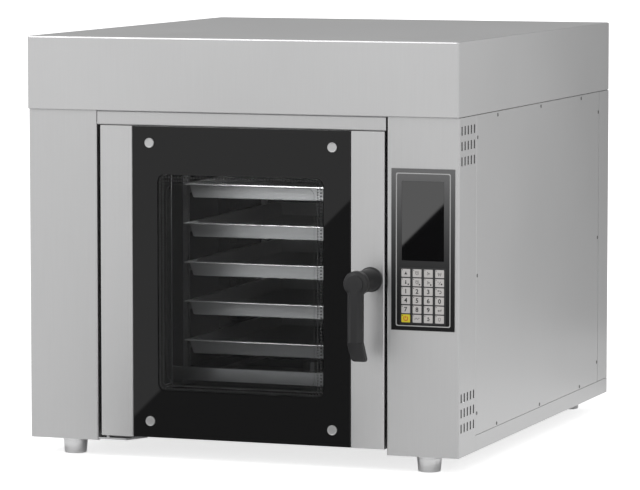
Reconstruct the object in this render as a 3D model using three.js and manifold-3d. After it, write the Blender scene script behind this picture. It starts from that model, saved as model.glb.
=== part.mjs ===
// Rotating rack oven: a steel cabinet on four feet, a side-hung glazed door, and a rack of five trays that
// turns in a square chamber in front of a hot-air fan. Millimetres, +Z up, front towards -Y.
// Everything inside the oven group is placed from the cabinet's left, front, bottom corner.
import * as THREE from "three";
import { mergeVertices } from "three/addons/utils/BufferGeometryUtils.js";
import Module from "manifold-3d";

// ---------------------------------------------------------------- driving dimensions
const bodyWidth = 1000;
const bodyHeight = 731; // base to the underside of the hood
const hoodHeight = 162;
const hoodOverhang = 8; // how far the hood stands proud at the front
const footHeight = 38;
const sheet = 2; // thickness of folded steel
const bend = 1.8; // centreline radius of a fold
const seat = 0.3; // clearance between pieces that seat on each other
const seam = 0.9; // open joint between casing panels

// trays and rack
const trayWidth = 400;
const trayLength = 600;
const trayHeight = 32;
const trayCount = 5;
const trayPitch = 87.5;
const firstTrayTop = 211; // rim of the lowest tray above the base
const rimWidth = 9;
const rimThickness = 3;
const wallFlare = 7; // how much a tray wall leans in from rim to floor
const trayCorner = 5;
const postSize = 12;
const postInset = 45; // front and rear posts, in from the tray ends
const slideHeight = 22;
const slideFlange = 16;
const rackFootHeight = 29;
const footBarOverhang = 8; // foot bars stand this far outside the trays
const footBarReach = 30; // and this far past them at each side
const rackBaseLevel = 106;
const railHeight = 8;
const shaftRadius = 10;
const tieHeight = 6;
const rackHeadroom = 70; // from the top tray's rim to the top of the side frames

// chamber
const chamberFloor = 83;
const roofSpace = 45; // from the chamber roof to the underside of the hood
const wallClearance = 4.6; // between the turning rack and the chamber walls
const rearClearance = 14;
const mouthHalfWidth = 245;
const mouthBottom = 100;
const mouthTopMargin = 66;
const collarDepth = 20; // from the front frame to the chamber's front wall
const insulationThickness = 42;

// door
const leftPanelWidth = 162;
const rightPanelWidth = 163;
const sideReturn = 117.5; // depth of the front panels' side faces
const doorGapLeft = 7.5;
const doorGapRight = 6;
const doorBottom = 12;
const headerHeight = 31;
const doorGapTop = 1;
const doorThickness = 50;
const sealSpace = 7; // from the door's inner skin to the front frame
const stileLeft = 76.5;
const stileRight = 77;
const glassThickness = 5;
const windowMarginLeft = 74; // frame opening in from the glass edges
const windowMarginRight = 64;
const windowMarginTop = 99;
const windowMarginBottom = 110;
const windowCorner = 10;
const innerGlassThickness = 4;
const innerGlassLap = 14; // inner glass beyond the opening on each side
const capInset = 41.5; // glass caps in from the glass sides
const capRise = 36.5; // and from its top and bottom
const capRadius = 11;
const stemRadius = 4;
const hingeInset = 12; // hinge axis in from the door's left edge
const hingeDepth = 12; // and behind the door's face
const pinRadius = 5;
const runningFit = 0.3; // radial clearance of a pin or shaft in its bore

// handle and latch
const handleInset = 31; // handle axis in from the door's right edge
const handleHeight = 380;
const handleReach = 110;
const hubRadius = 24;
const bossRadius = 27;
const bossDepth = 28;
const discRadius = 19;
const leverLength = 170;
const leverWidth = 34;
const leverThickness = 24;
const leverKink = 126; // where the lever turns back towards the door
const kinkReturn = 30;
const spindleRadius = 6;
const tongueLength = 40;
const tongueWidth = 18;
const tongueThickness = 5;
const slotClearance = 3;

// controls
const controlWidth = 142.4;
const controlHeight = 348;
const controlEdge = 10.3; // from the body's right side
const controlBottom = 273.5;
const controlPlate = 2;
const controlHousingDepth = 36;
const displayWidth = 94.6;
const displayHeight = 170.5;
const displayTopMargin = 27;
const keyColumns = 4;
const keyRows = 6;
const keyWidth = 21;
const keyHeight = 18.4;
const keyPitchX = 25.4;
const keyPitchZ = 19.6;
const keyBottomMargin = 16.5;
const keyRise = 0.6;

// machine space behind and above the chamber
const fanSpace = 118;
const machineSpace = 178;
const fanRadius = 150;
const fanDepth = 62;
const bladeCount = 10;
const heaterRadius = 190;
const heaterTube = 4.2;
const motorRadius = 68;
const motorLength = 120;
const motorShaft = 8;
const glandReach = 24;
const rearReturn = 84; // depth of the back panel's side returns
const sillHeight = 35;
const doorNotch = 115; // the base stands this far back behind the door
const footTopRadius = 28;
const footBottomRadius = 24.5;
const footInsetX = 84;
const footInsetFront = 55;
const footInsetRear = 46;
const studRadius = 6;

// ---------------------------------------------------------------- derived places
const centreX = bodyWidth / 2;
const rackHalfWidth = trayWidth / 2 + footBarReach;
const rackHalfLength = trayLength / 2 + footBarOverhang;
const swingRadius = Math.hypot(rackHalfWidth, rackHalfLength);
const chamberHalf = swingRadius + wallClearance;
const frontFrameV = doorThickness + sealSpace;
const chamberFront = frontFrameV + sheet + collarDepth;
const rackCentreV = chamberFront + sheet / 2 + chamberHalf;
const chamberBack = rackCentreV + swingRadius + rearClearance;
const chamberTop = bodyHeight - roofSpace;
const housingBack = chamberBack + sheet + seat + fanSpace;
const bodyDepth = housingBack + machineSpace + sheet;
const glandEnd = bodyDepth + glandReach;
const doorLeft = leftPanelWidth + doorGapLeft;
const doorRight = bodyWidth - rightPanelWidth - doorGapRight;
const doorTop = bodyHeight - headerHeight - doorGapTop;
const glassLeft = doorLeft + stileLeft;
const glassRight = doorRight - stileRight;
const windowLeft = glassLeft + windowMarginLeft;
const windowRight = glassRight - windowMarginRight;
const windowBottom = doorBottom + windowMarginBottom;
const windowTop = doorTop - windowMarginTop;
const glassSeatV = glassThickness + 2 * seat;
const hingeX = doorLeft + hingeInset;
const handleX = doorRight - handleInset;
const tongueV = frontFrameV + 3 * sheet;
const mouthTop = bodyHeight - mouthTopMargin;
const controlLeft = bodyWidth - controlEdge - controlWidth;

// ---------------------------------------------------------------- materials
function finish(color, roughness, metalness) {
  return new THREE.MeshStandardMaterial({ color, roughness, metalness, flatShading: true });
}
const casingSteel = finish(0xc6c7c8, 0.42, 0.85);
const brightSteel = finish(0xdadada, 0.2, 1);
const linerSteel = finish(0x8f8f90, 0.35, 0.9);
const plainSteel = finish(0x9a9c9e, 0.5, 0.8);
const blackGlass = finish(0x1b1c1d, 0.08, 0.1);
const clearGlass = finish(0xd9e2e0, 0.05, 0);
const blackPlastic = finish(0x2b2c2d, 0.45, 0);
const panelBlack = finish(0x35363a, 0.3, 0.1);
const keyGrey = finish(0xcfcbc8, 0.6, 0);
const sealRubber = finish(0x3a3b3c, 0.8, 0);
const mineralWool = finish(0xb9a97f, 1, 0);
const motorPaint = finish(0x50565c, 0.6, 0.3);

// ---------------------------------------------------------------- solids
const wasm = await Module();
wasm.setup();

/** A closed geometry as a solid with its faces pointing out. */
function solidFrom(geometry) {
  const bare = geometry.index ? geometry.toNonIndexed() : geometry;
  const points = new THREE.BufferGeometry();
  points.setAttribute("position", bare.getAttribute("position"));
  const merged = mergeVertices(points, 1e-3);
  const vertProperties = merged.attributes.position.array;
  const triVerts = new Uint32Array(merged.index.array);
  const solid = new wasm.Manifold(new wasm.Mesh({ numProp: 3, vertProperties, triVerts }));
  if (solid.volume() > 0) return solid;
  const turned = triVerts.slice().reverse();
  return new wasm.Manifold(new wasm.Mesh({ numProp: 3, vertProperties, triVerts: turned }));
}

function geometryFrom(solid) {
  const mesh = solid.getMesh();
  const geometry = new THREE.BufferGeometry();
  geometry.setAttribute("position", new THREE.BufferAttribute(mesh.vertProperties, 3));
  geometry.setIndex(new THREE.BufferAttribute(mesh.triVerts, 1));
  return geometry;
}

function join(first, ...rest) {
  return rest.reduce((whole, piece) => whole.add(piece), first);
}

function cut(whole, ...tools) {
  return tools.reduce((left, tool) => left.subtract(tool), whole);
}

function box(x0, x1, y0, y1, z0, z1) {
  const geometry = new THREE.BoxGeometry(x1 - x0, y1 - y0, z1 - z0);
  geometry.translate((x0 + x1) / 2, (y0 + y1) / 2, (z0 + z1) / 2);
  return solidFrom(geometry);
}

/** A flat outline pushed along an axis: its two coordinates are the other two axes, in X, Y, Z order. */
function prism(outline, axis, from, to) {
  const shape = new THREE.Shape(outline.map(([a, b]) => new THREE.Vector2(a, b)));
  const geometry = new THREE.ExtrudeGeometry(shape, { depth: to - from, bevelEnabled: false });
  const turn = new THREE.Matrix4();
  if (axis === "x") turn.set(0, 0, 1, from, 1, 0, 0, 0, 0, 1, 0, 0, 0, 0, 0, 1);
  if (axis === "y") turn.set(1, 0, 0, 0, 0, 0, -1, to, 0, 1, 0, 0, 0, 0, 0, 1);
  if (axis === "z") turn.makeTranslation(0, 0, from);
  return solidFrom(geometry.applyMatrix4(turn));
}

/** A profile of [radius, height] points turned about an axis through the origin. */
function turned(profile, axis, segments = 20) {
  const points = profile.map(([radius, height]) => new THREE.Vector2(radius, height));
  const geometry = new THREE.LatheGeometry(points, segments);
  if (axis === "x") geometry.rotateZ(-Math.PI / 2);
  if (axis === "z") geometry.rotateX(Math.PI / 2);
  return solidFrom(geometry);
}

/** A round bar along an axis, from one end to the other, its other two coordinates in X, Y, Z order. */
function rod(axis, radius, from, to, a, b, segments = 16) {
  const bar = turned([[0, from], [radius, from], [radius, to], [0, to]], axis, segments);
  if (axis === "x") return bar.translate([0, a, b]);
  if (axis === "y") return bar.translate([a, 0, b]);
  return bar.translate([a, b, 0]);
}

/** A skin over rings of equally many points, with a fan closing each end. */
function loft(rings) {
  const count = rings[0].length;
  const position = rings.flat(2);
  const index = [];
  for (let r = 0; r + 1 < rings.length; r++) {
    for (let i = 0; i < count; i++) {
      const here = r * count + i;
      const next = r * count + ((i + 1) % count);
      index.push(here, next, next + count, here, next + count, here + count);
    }
  }
  for (const [ring, flip] of [[0, true], [rings.length - 1, false]]) {
    const middle = position.length / 3;
    for (const k of [0, 1, 2]) position.push(rings[ring].reduce((sum, p) => sum + p[k], 0) / count);
    for (let i = 0; i < count; i++) {
      const a = ring * count + i;
      const b = ring * count + ((i + 1) % count);
      index.push(...(flip ? [b, a, middle] : [a, b, middle]));
    }
  }
  const geometry = new THREE.BufferGeometry();
  geometry.setAttribute("position", new THREE.Float32BufferAttribute(position, 3));
  geometry.setIndex(index);
  return solidFrom(geometry);
}

/** Points round a rectangle with rounded corners, centred on the origin. */
function roundedRectangle(halfX, halfY, radius, steps = 4) {
  const points = [];
  for (let corner = 0; corner < 4; corner++) {
    const signX = corner === 0 || corner === 3 ? 1 : -1;
    const signY = corner < 2 ? 1 : -1;
    for (let i = 0; i <= steps; i++) {
      const angle = (Math.PI / 2) * (corner + i / steps);
      points.push([
        signX * (halfX - radius) + radius * Math.cos(angle),
        signY * (halfY - radius) + radius * Math.sin(angle),
      ]);
    }
  }
  return points;
}

/** The outline of a folded sheet, from the centreline's corners. With no facets a corner stays sharp. */
function folded(line, thickness = sheet, radius = bend, facets = 3) {
  const corners = line.map(([x, y]) => new THREE.Vector2(x, y));
  const course = [];
  const heading = (i) => corners[i + 1].clone().sub(corners[i]).normalize();
  const leftOf = (way) => new THREE.Vector2(-way.y, way.x);
  course.push([corners[0], leftOf(heading(0))]);
  for (let i = 1; i + 1 < corners.length; i++) {
    const before = heading(i - 1);
    const after = heading(i);
    const turn = Math.atan2(before.cross(after), before.dot(after));
    if (facets === 0) {
      course.push([corners[i], leftOf(before).rotateAround(new THREE.Vector2(), turn / 2)]);
      continue;
    }
    const run = radius * Math.tan(Math.abs(turn) / 2);
    const side = Math.sign(turn) * radius;
    const start = corners[i].clone().addScaledVector(before, -run);
    const centre = start.addScaledVector(leftOf(before), side);
    for (let k = 0; k <= facets; k++) {
      const normal = leftOf(before).rotateAround(new THREE.Vector2(), (turn * k) / facets);
      course.push([centre.clone().addScaledVector(normal, -side), normal]);
    }
  }
  course.push([corners.at(-1), leftOf(heading(corners.length - 2))]);
  const edge = (offset) => course.map(([p, n]) => p.clone().addScaledVector(n, offset).toArray());
  return [...edge(-thickness / 2), ...edge(thickness / 2).reverse()];
}

/** Mirrors points of a plan across the cabinet's middle. */
function mirrored(line) {
  return line.map(([x, y]) => [bodyWidth - x, y]);
}

function steps(count, place) {
  return Array.from({ length: count }, (_, i) => place(i));
}

// ---------------------------------------------------------------- scene graph
const oven = new THREE.Group();
oven.position.set(-centreX, (handleReach - glandEnd) / 2, footHeight);

function add(parent, name, solid, material) {
  const mesh = new THREE.Mesh(geometryFrom(solid), material);
  mesh.name = name;
  mesh.position.copy(parent.userData.origin ?? new THREE.Vector3()).negate();
  parent.add(mesh);
}

/** A group that turns or slides about its own origin, while its meshes keep the cabinet's coordinates. */
function moving(parent, x, y, z) {
  const group = new THREE.Group();
  const outer = parent.userData.origin ?? new THREE.Vector3();
  group.userData.origin = new THREE.Vector3(x, y, z);
  group.position.set(x - outer.x, y - outer.y, z - outer.z);
  parent.add(group);
  return group;
}

const door = moving(oven, hingeX, hingeDepth, doorBottom);
const handle = moving(door, handleX, 0, handleHeight);
const rack = moving(oven, centreX, rackCentreV, chamberFloor);
const fan = moving(oven, centreX, chamberBack, (chamberFloor + chamberTop) / 2);

// ---------------------------------------------------------------- base, feet and casing
const half = sheet / 2;

/** The base's plan, set in all round: notched at the front for the door, stepped behind the front panels. */
function basePlan(inset) {
  const x0 = sheet + seat + inset;
  const x1 = leftPanelWidth - sheet - seat - inset;
  const x2 = bodyWidth - rightPanelWidth + sheet + seat + inset;
  const y0 = sheet + seat + inset;
  const y1 = doorNotch + inset;
  const y2 = sideReturn + seat + inset;
  return [
    [x0, y0], [x1, y0], [x1, y1], [x2, y1], [x2, y0], [bodyWidth - x0, y0], [bodyWidth - x0, y2],
    [bodyWidth - inset, y2], [bodyWidth - inset, bodyDepth - sheet - seat - inset],
    [inset, bodyDepth - sheet - seat - inset], [inset, y2], [x0, y2],
  ];
}
const footPlaces = [
  ["front_left_foot", footInsetX, footInsetFront],
  ["front_right_foot", bodyWidth - footInsetX, footInsetFront],
  ["rear_left_foot", footInsetX, bodyDepth - footInsetRear],
  ["rear_right_foot", bodyWidth - footInsetX, bodyDepth - footInsetRear],
];
const pan = prism(basePlan(0), "z", 0, sillHeight - seat);
const panSpace = prism(basePlan(sheet), "z", sheet, sillHeight);
const bearers = [0.25, 0.75].map((share) => {
  const y = frontFrameV + share * (bodyDepth - frontFrameV);
  const channel = [[y - 30, sheet / 2], [y - 30, sillHeight - 4], [y + 30, sillHeight - 4], [y + 30, sheet / 2]];
  return prism(folded(channel), "x", 40, bodyWidth - 40);
});
const studHoles = footPlaces.map(([, x, y]) => rod("z", studRadius + 2 * runningFit, -1, sheet + 1, x, y, 12));
add(oven, "base_frame", cut(join(cut(pan, panSpace), ...bearers), ...studHoles), plainSteel);

for (const [name, x, y] of footPlaces) {
  const profile = [
    [0, -footHeight], [footBottomRadius - 2, -footHeight], [footBottomRadius, -footHeight + 2],
    [footTopRadius, -7], [footTopRadius, -seat], [studRadius, -seat], [studRadius, 16], [0, 16],
  ];
  add(oven, name, turned(profile, "z").translate([x, y, 0]), brightSteel);
}

const frontPanel = [
  [half, sideReturn], [half, half], [leftPanelWidth - half, half], [leftPanelWidth - half, frontFrameV + sheet],
];
add(oven, "left_front_panel", prism(folded(frontPanel), "z", 0, bodyHeight - seat), casingSteel);

const rightEdge = bodyWidth - rightPanelWidth + leftPanelWidth;
const rightFront = mirrored(frontPanel).map(([x, y]) => [x < bodyWidth - half ? x + leftPanelWidth
  - rightPanelWidth : x, y]);
const ventWidth = 8;
const ventHeight = 19;
const ventPitch = 21.8;
const ventRowPitch = 32.8;
const ventColumns = steps(5, (i) => 16 + ventPitch * i);
const ventRows = [...steps(3, (i) => 53 + ventRowPitch * i), ...steps(3, (i) => bodyHeight - 37.7 - ventRowPitch * i)];
const vents = ventRows.flatMap((z) =>
  ventColumns.map((y) => box(bodyWidth - 2 * sheet, bodyWidth + 1, y - ventWidth / 2, y + ventWidth / 2, z,
    z + ventHeight)));
const housingMargin = 10;
const controlHole = box(
  controlLeft + housingMargin - seat, controlLeft + controlWidth - housingMargin + seat, -1, 2 * sheet,
  controlBottom + housingMargin - seat, controlBottom + controlHeight - housingMargin + seat,
);
add(oven, "right_front_panel", cut(prism(folded(rightFront), "z", 0, bodyHeight - seat), controlHole, ...vents),
  casingSteel);

const flange = 14;
const sidePanel = [
  [flange, sideReturn + seam + half], [half, sideReturn + seam + half],
  [half, bodyDepth - rearReturn - seam - half], [flange, bodyDepth - rearReturn - seam - half],
];
add(oven, "left_side_panel", prism(folded(sidePanel), "z", sillHeight + seam - seat, bodyHeight - seat), casingSteel);
add(oven, "right_side_panel", prism(folded(mirrored(sidePanel)), "z", sillHeight + seam - seat, bodyHeight - seat), casingSteel);

const glandX = bodyWidth - 100;
const glandZ = 95;
const glandThread = 12;
const backPlan = [
  [half, bodyDepth - rearReturn], [half, bodyDepth - half],
  [bodyWidth - half, bodyDepth - half], [bodyWidth - half, bodyDepth - rearReturn],
];
const louvres = steps(3, (row) => steps(5, (column) => {
  const x = centreX + (column - 2) * 45;
  const z = bodyHeight - 90 - row * 60;
  return box(x - 5, x + 5, bodyDepth - 2 * sheet, bodyDepth + 1, z, z + 40);
})).flat();
add(oven, "back_panel", cut(prism(folded(backPlan), "z", sillHeight + seam - seat, bodyHeight - seat), ...louvres,
  rod("y", glandThread + runningFit, bodyDepth - 2 * sheet, bodyDepth + 1, glandX, glandZ)), casingSteel);

const glandProfile = [
  [6, bodyDepth - 16], [glandThread, bodyDepth - 16], [glandThread, bodyDepth + seat],
  [glandThread + 5, bodyDepth + seat], [glandThread + 5, bodyDepth + 9], [glandThread, bodyDepth + 11],
  [glandThread - 3, glandEnd], [6, glandEnd], [6, bodyDepth - 16],
];
add(oven, "cable_gland", turned(glandProfile, "y").translate([glandX, 0, glandZ]), blackPlastic);

const shaftHole = rod("z", shaftRadius + 8, bodyHeight - 10, bodyHeight + 20, centreX, rackCentreV);
const deckZ = bodyHeight + seat;
const hoodHalfDepth = (bodyDepth + hoodOverhang) / 2;
const hoodEdge = 3;
const hoodRing = (inset, z) => roundedRectangle(centreX - inset, hoodHalfDepth - inset, hoodEdge + 1, 3)
  .map(([x, y]) => [x + centreX, y + hoodHalfDepth - hoodOverhang, z]);
const hoodTop = bodyHeight + hoodHeight;
add(oven, "roof_deck", cut(prism(hoodRing(sheet + seat, 0), "z", deckZ, deckZ + sheet), shaftHole), plainSteel);
add(oven, "hood", loft([
  hoodRing(hoodEdge, hoodTop), hoodRing(1, hoodTop - 1), hoodRing(0, hoodTop - hoodEdge),
  hoodRing(0, bodyHeight + seam + 1), hoodRing(1, bodyHeight + seam), hoodRing(sheet, bodyHeight + seam),
  hoodRing(sheet, hoodTop - sheet),
]), casingSteel);

const headerTop = bodyHeight - seat;
const headerBottom = bodyHeight - headerHeight;
const headerFold = [
  [frontFrameV - seat, headerBottom + half], [half, headerBottom + half],
  [half, headerTop - half], [frontFrameV - seat, headerTop - half],
];
const headerGapLeft = 1.5;
const headerGapRight = 3;
const headerPinHole = rod("z", pinRadius + 1, headerBottom - 1, headerBottom + 2 * sheet, hingeX, hingeDepth);
add(oven, "header_strip", cut(prism(folded(headerFold), "x", leftPanelWidth + headerGapLeft,
  bodyWidth - rightPanelWidth - headerGapRight), headerPinHole), casingSteel);

// The sill is a channel that joins the front frame to the base, clear of the sight line under the door.
const sillFront = frontFrameV + sheet + seat + half;
const sillBack = doorNotch - seat - half;
const sillFold = [[sillFront, sillHeight + 10], [sillFront, doorBottom + 1 + half],
  [sillBack, doorBottom + 1 + half], [sillBack, sillHeight - 2]];
add(oven, "door_sill", prism(folded(sillFold, sheet, 2), "x", leftPanelWidth + seat,
  bodyWidth - rightPanelWidth - seat), plainSteel);

// ---------------------------------------------------------------- hinges
const bracketThickness = 4.2;
const bracketEnd = hingeX + 47;
const bracketPlan = [
  [leftPanelWidth + seat, sheet + seat], [bracketEnd, sheet + seat], [bracketEnd + 28, frontFrameV - seat],
  [leftPanelWidth + seat, frontFrameV - seat],
];
const bracket = (low) => prism(bracketPlan, "z", low, low + bracketThickness);
const pin = (from, to) => rod("z", pinRadius, from, to, hingeX, hingeDepth);
const pinGrip = 24; // how far a pin reaches into the door
const pinHead = 2;
const lowerBracket = 2.3; // underside of the lower bracket
const upperBracket = headerBottom + sheet + seat;
const upperPinHole = rod("z", pinRadius + runningFit, upperBracket - 1, upperBracket + 2 * bracketThickness, hingeX,
  hingeDepth);
add(oven, "lower_hinge_bracket", join(bracket(lowerBracket), pin(lowerBracket, doorBottom + pinGrip)), brightSteel);
add(oven, "upper_hinge_bracket", cut(bracket(upperBracket), upperPinHole), brightSteel);
add(oven, "upper_hinge_pin", join(pin(doorTop - pinGrip, upperBracket + bracketThickness + seat + pinHead),
  rod("z", pinRadius + 3, upperBracket + bracketThickness + seat, upperBracket + bracketThickness + seat + pinHead,
    hingeX, hingeDepth)), brightSteel);

// ---------------------------------------------------------------- front frame, seal and latch keeper
const frameBottom = sillHeight - 4;
const slotHalf = tongueWidth / 2 + slotClearance;
const slotTop = handleHeight + slotHalf;
const slotBottom = handleHeight - tongueLength - slotClearance;
const mouthLeft = centreX - mouthHalfWidth;
const mouthRight = centreX + mouthHalfWidth;
const keeperSlot = box(handleX - slotHalf, handleX + slotHalf, frontFrameV - 5, frontFrameV + 20, slotBottom, slotTop);
add(oven, "front_frame", cut(
  box(leftPanelWidth + seat, bodyWidth - rightPanelWidth - seat, frontFrameV, frontFrameV + sheet, frameBottom,
    bodyHeight - seat),
  box(mouthLeft, mouthRight, frontFrameV - 1, frontFrameV + 2 * sheet, mouthBottom, mouthTop), keeperSlot,
), linerSteel);
const keeperMargin = 9;
add(oven, "latch_keeper", cut(
  box(handleX - slotHalf - keeperMargin, handleX + slotHalf + keeperMargin, frontFrameV + sheet + seat,
    tongueV - 0.7, slotBottom - keeperMargin, slotTop + keeperMargin), keeperSlot,
), brightSteel);

const sealWidth = 10;
const mouthMiddle = (mouthBottom + mouthTop) / 2;
const sealRing = (inset, y) => roundedRectangle(mouthHalfWidth + 4 + sealWidth - inset,
  (mouthTop - mouthBottom) / 2 + 4 + sealWidth - inset, 20 - inset)
  .map(([x, z]) => [x, z]);
const sealOutline = (inset) => sealRing(inset).map(([x, z]) => [x + centreX, z + mouthMiddle]);
add(oven, "door_seal", cut(
  prism(sealOutline(0), "y", doorThickness + 0.4, frontFrameV - seat),
  prism(sealOutline(sealWidth), "y", doorThickness - 1, frontFrameV + 1),
), sealRubber);

// ---------------------------------------------------------------- chamber
const wallX = centreX - chamberHalf;
const leftWall = [
  [mouthLeft - half, frontFrameV + sheet + seat], [mouthLeft - half, chamberFront],
  [wallX - half, chamberFront], [wallX - half, chamberBack - seat],
];
const wallLow = chamberFloor + seat;
const wallHigh = chamberTop - seat;
const lampV = rackCentreV - 260;
const lampZ = wallHigh - 90;
const lensRadius = 26;
add(oven, "chamber_left_wall", prism(folded(leftWall), "z", wallLow, wallHigh), linerSteel);
add(oven, "chamber_right_wall", cut(prism(folded(mirrored(leftWall)), "z", wallLow, wallHigh),
  rod("x", lensRadius + runningFit, bodyWidth - wallX - 5, bodyWidth - wallX + 5, lampV, lampZ, 20)), linerSteel);
const linerLeft = wallX - sheet;
const linerRight = bodyWidth - linerLeft;
const bearingBore = shaftRadius + runningFit;
add(oven, "chamber_floor", box(linerLeft, linerRight, frontFrameV + sheet + seat, chamberBack - seat,
  chamberFloor - sheet, chamberFloor), linerSteel);
add(oven, "chamber_roof", cut(box(linerLeft, linerRight, frontFrameV + sheet + seat, chamberBack - seat,
  chamberTop, chamberTop + sheet), rod("z", bearingBore, chamberTop - 5, chamberTop + 5, centreX, rackCentreV)),
linerSteel);

const fanZ = (chamberFloor + chamberTop) / 2;
const slotArc = (inner, outer, from, to) => {
  const arc = (radius, a, b) => steps(3, (i) => a + ((b - a) * i) / 2)
    .map((angle) => [centreX + radius * Math.cos(angle), fanZ + radius * Math.sin(angle)]);
  return [...arc(inner, from, to), ...arc(outer, to, from)];
};
const intake = [[30, 62, 4], [78, 100, 8], [114, 132, 12]].flatMap(([inner, outer, count]) =>
  steps(count, (i) => {
    const pitch = (2 * Math.PI) / count;
    return prism(slotArc(inner, outer, pitch * i, pitch * (i + 0.72)), "y", chamberBack - 1, chamberBack + 2 * sheet);
  }));
const outlets = [-1, 1].flatMap((side) => steps(7, (i) => {
  const z = fanZ - 210 + i * 62;
  const x = centreX + side * (chamberHalf - 50);
  return box(x - 22, x + 22, chamberBack - 1, chamberBack + 2 * sheet, z, z + 34);
}));
add(oven, "air_baffle", cut(box(linerLeft, linerRight, chamberBack, chamberBack + sheet, chamberFloor - sheet,
  chamberTop + sheet), ...intake, ...outlets), linerSteel);

const housingFront = chamberBack + sheet + seat;
const heaterLegX = 30;
const heaterLegZ = fanZ - Math.sqrt(heaterRadius ** 2 - heaterLegX ** 2);
add(oven, "fan_housing", cut(
  box(linerLeft, linerRight, housingFront, housingBack, chamberFloor - sheet, chamberTop + sheet),
  box(linerLeft + sheet, linerRight - sheet, housingFront - 1, housingBack - sheet, chamberFloor, chamberTop),
  rod("y", motorShaft + 4, housingBack - 5, housingBack + 5, centreX, fanZ),
  rod("y", heaterTube + runningFit, housingBack - 5, housingBack + 5, centreX - heaterLegX, heaterLegZ),
  rod("y", heaterTube + runningFit, housingBack - 5, housingBack + 5, centreX + heaterLegX, heaterLegZ),
), linerSteel);

const woolInner = seat;
add(oven, "insulation_jacket", cut(
  box(linerLeft - insulationThickness, linerRight + insulationThickness, chamberFront - sheet / 2, chamberBack - 2,
    sillHeight + seat, bodyHeight - 3),
  box(linerLeft - woolInner, linerRight + woolInner, frontFrameV, chamberBack, chamberFloor - sheet - woolInner,
    chamberTop + sheet + woolInner),
  rod("z", 38, chamberTop, bodyHeight, centreX, rackCentreV),
  rod("x", lensRadius + 9, linerRight - 5, linerRight + insulationThickness + 5, lampV, lampZ),
), mineralWool);

const lampFlange = lensRadius + 4;
const lampProfile = [[0, linerRight - 3.4], [lensRadius, linerRight - 3.4], [lensRadius, linerRight + seat],
  [lampFlange, linerRight + seat], [lampFlange, linerRight + 34], [lampFlange - 4, linerRight + 38],
  [0, linerRight + 38]];
add(oven, "chamber_lamp", turned(lampProfile, "x").translate([0, lampV, lampZ]), clearGlass);

// ---------------------------------------------------------------- fan, heater and motor
const fanFront = housingFront + 14;
const fanBack = fanFront + fanDepth;
const blade = (turn) => {
  const arc = steps(5, (i) => {
    const radius = 62 + (fanRadius - 6 - 62) * (i / 4);
    const angle = turn + 0.55 * (i / 4) ** 1.3;
    return [centreX + radius * Math.cos(angle), fanZ + radius * Math.sin(angle)];
  });
  return prism(folded(arc, 2.4, 0, 0), "y", fanFront + 1, fanBack - 1);
};
const ringOf = (outer, inner, from, to, segments = 30) => turned([[inner, from], [outer, from], [outer, to],
  [inner, to], [inner, from]], "y", segments).translate([centreX, 0, fanZ]);
const motorFace = housingBack + seat;
const motorDepth = 60;
add(fan, "fan_wheel", join(
  rod("y", fanRadius, fanBack - 3, fanBack, centreX, fanZ, 30),
  ringOf(fanRadius, fanRadius - 34, fanFront, fanFront + 2.5),
  rod("y", 20, fanFront + 8, fanBack + 6, centreX, fanZ),
  rod("y", motorShaft, fanBack, motorFace + motorDepth - 2, centreX, fanZ),
  ...steps(bladeCount, (i) => blade((2 * Math.PI * i) / bladeCount)),
), plainSteel);

const motorEnd = motorFace + motorLength;
const motorProfile = [
  [motorShaft + runningFit, motorFace], [motorRadius + 16, motorFace], [motorRadius + 16, motorFace + 6],
  [motorRadius - 10, motorFace + 14], [motorRadius, motorFace + 18], [motorRadius, motorEnd - 24],
  [motorRadius - 6, motorEnd - 20], [motorRadius - 6, motorEnd - 4], [motorRadius - 14, motorEnd], [0, motorEnd],
  [0, motorFace + motorDepth], [motorShaft + runningFit, motorFace + motorDepth],
  [motorShaft + runningFit, motorFace],
];
const terminalBox = box(centreX - 32, centreX + 32, motorFace + 30, motorEnd - 34, fanZ, fanZ + motorRadius + 26);
const motorCore = rod("y", motorShaft + runningFit, motorFace - 1, motorFace + motorDepth, centreX, fanZ);
const motorBody = turned(motorProfile, "y", 24).translate([centreX, 0, fanZ]);
add(oven, "fan_motor", cut(join(motorBody, terminalBox), motorCore), motorPaint);

// The heater: two turns round the fan, whose ends bend back through the housing.
const heaterFront = fanFront + 16;
const heaterRise = 30;
const heaterTail = housingBack + 16;
const edgeAngle = Math.asin(heaterLegX / heaterRadius);
const heaterPoint = (angle, y) => new THREE.Vector3(
  centreX + heaterRadius * Math.cos(angle), y, fanZ + heaterRadius * Math.sin(angle));
const firstAngle = edgeAngle - Math.PI / 2;
const lastAngle = 4 * Math.PI - Math.PI / 2 - edgeAngle;
const coil = steps(41, (i) => heaterPoint(
  firstAngle + 0.1 + ((lastAngle - firstAngle - 0.2) * i) / 40, heaterFront + (heaterRise * i) / 40));
const leg = (angle, y) => [heaterTail, heaterTail - 12, y + 24, y + 12].map((back) => heaterPoint(angle, back));
const heaterPath = new THREE.CatmullRomCurve3([
  ...leg(firstAngle, heaterFront), ...coil, ...leg(lastAngle, heaterFront + heaterRise).reverse()], false,
"centripetal");
const tubeSection = new THREE.Shape(steps(6, (i) => new THREE.Vector2(
  heaterTube * Math.cos((i * Math.PI) / 3), heaterTube * Math.sin((i * Math.PI) / 3))));
const heater = new THREE.ExtrudeGeometry(tubeSection, { steps: 50, extrudePath: heaterPath });
add(oven, "heater_ring", solidFrom(heater), plainSteel);

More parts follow.
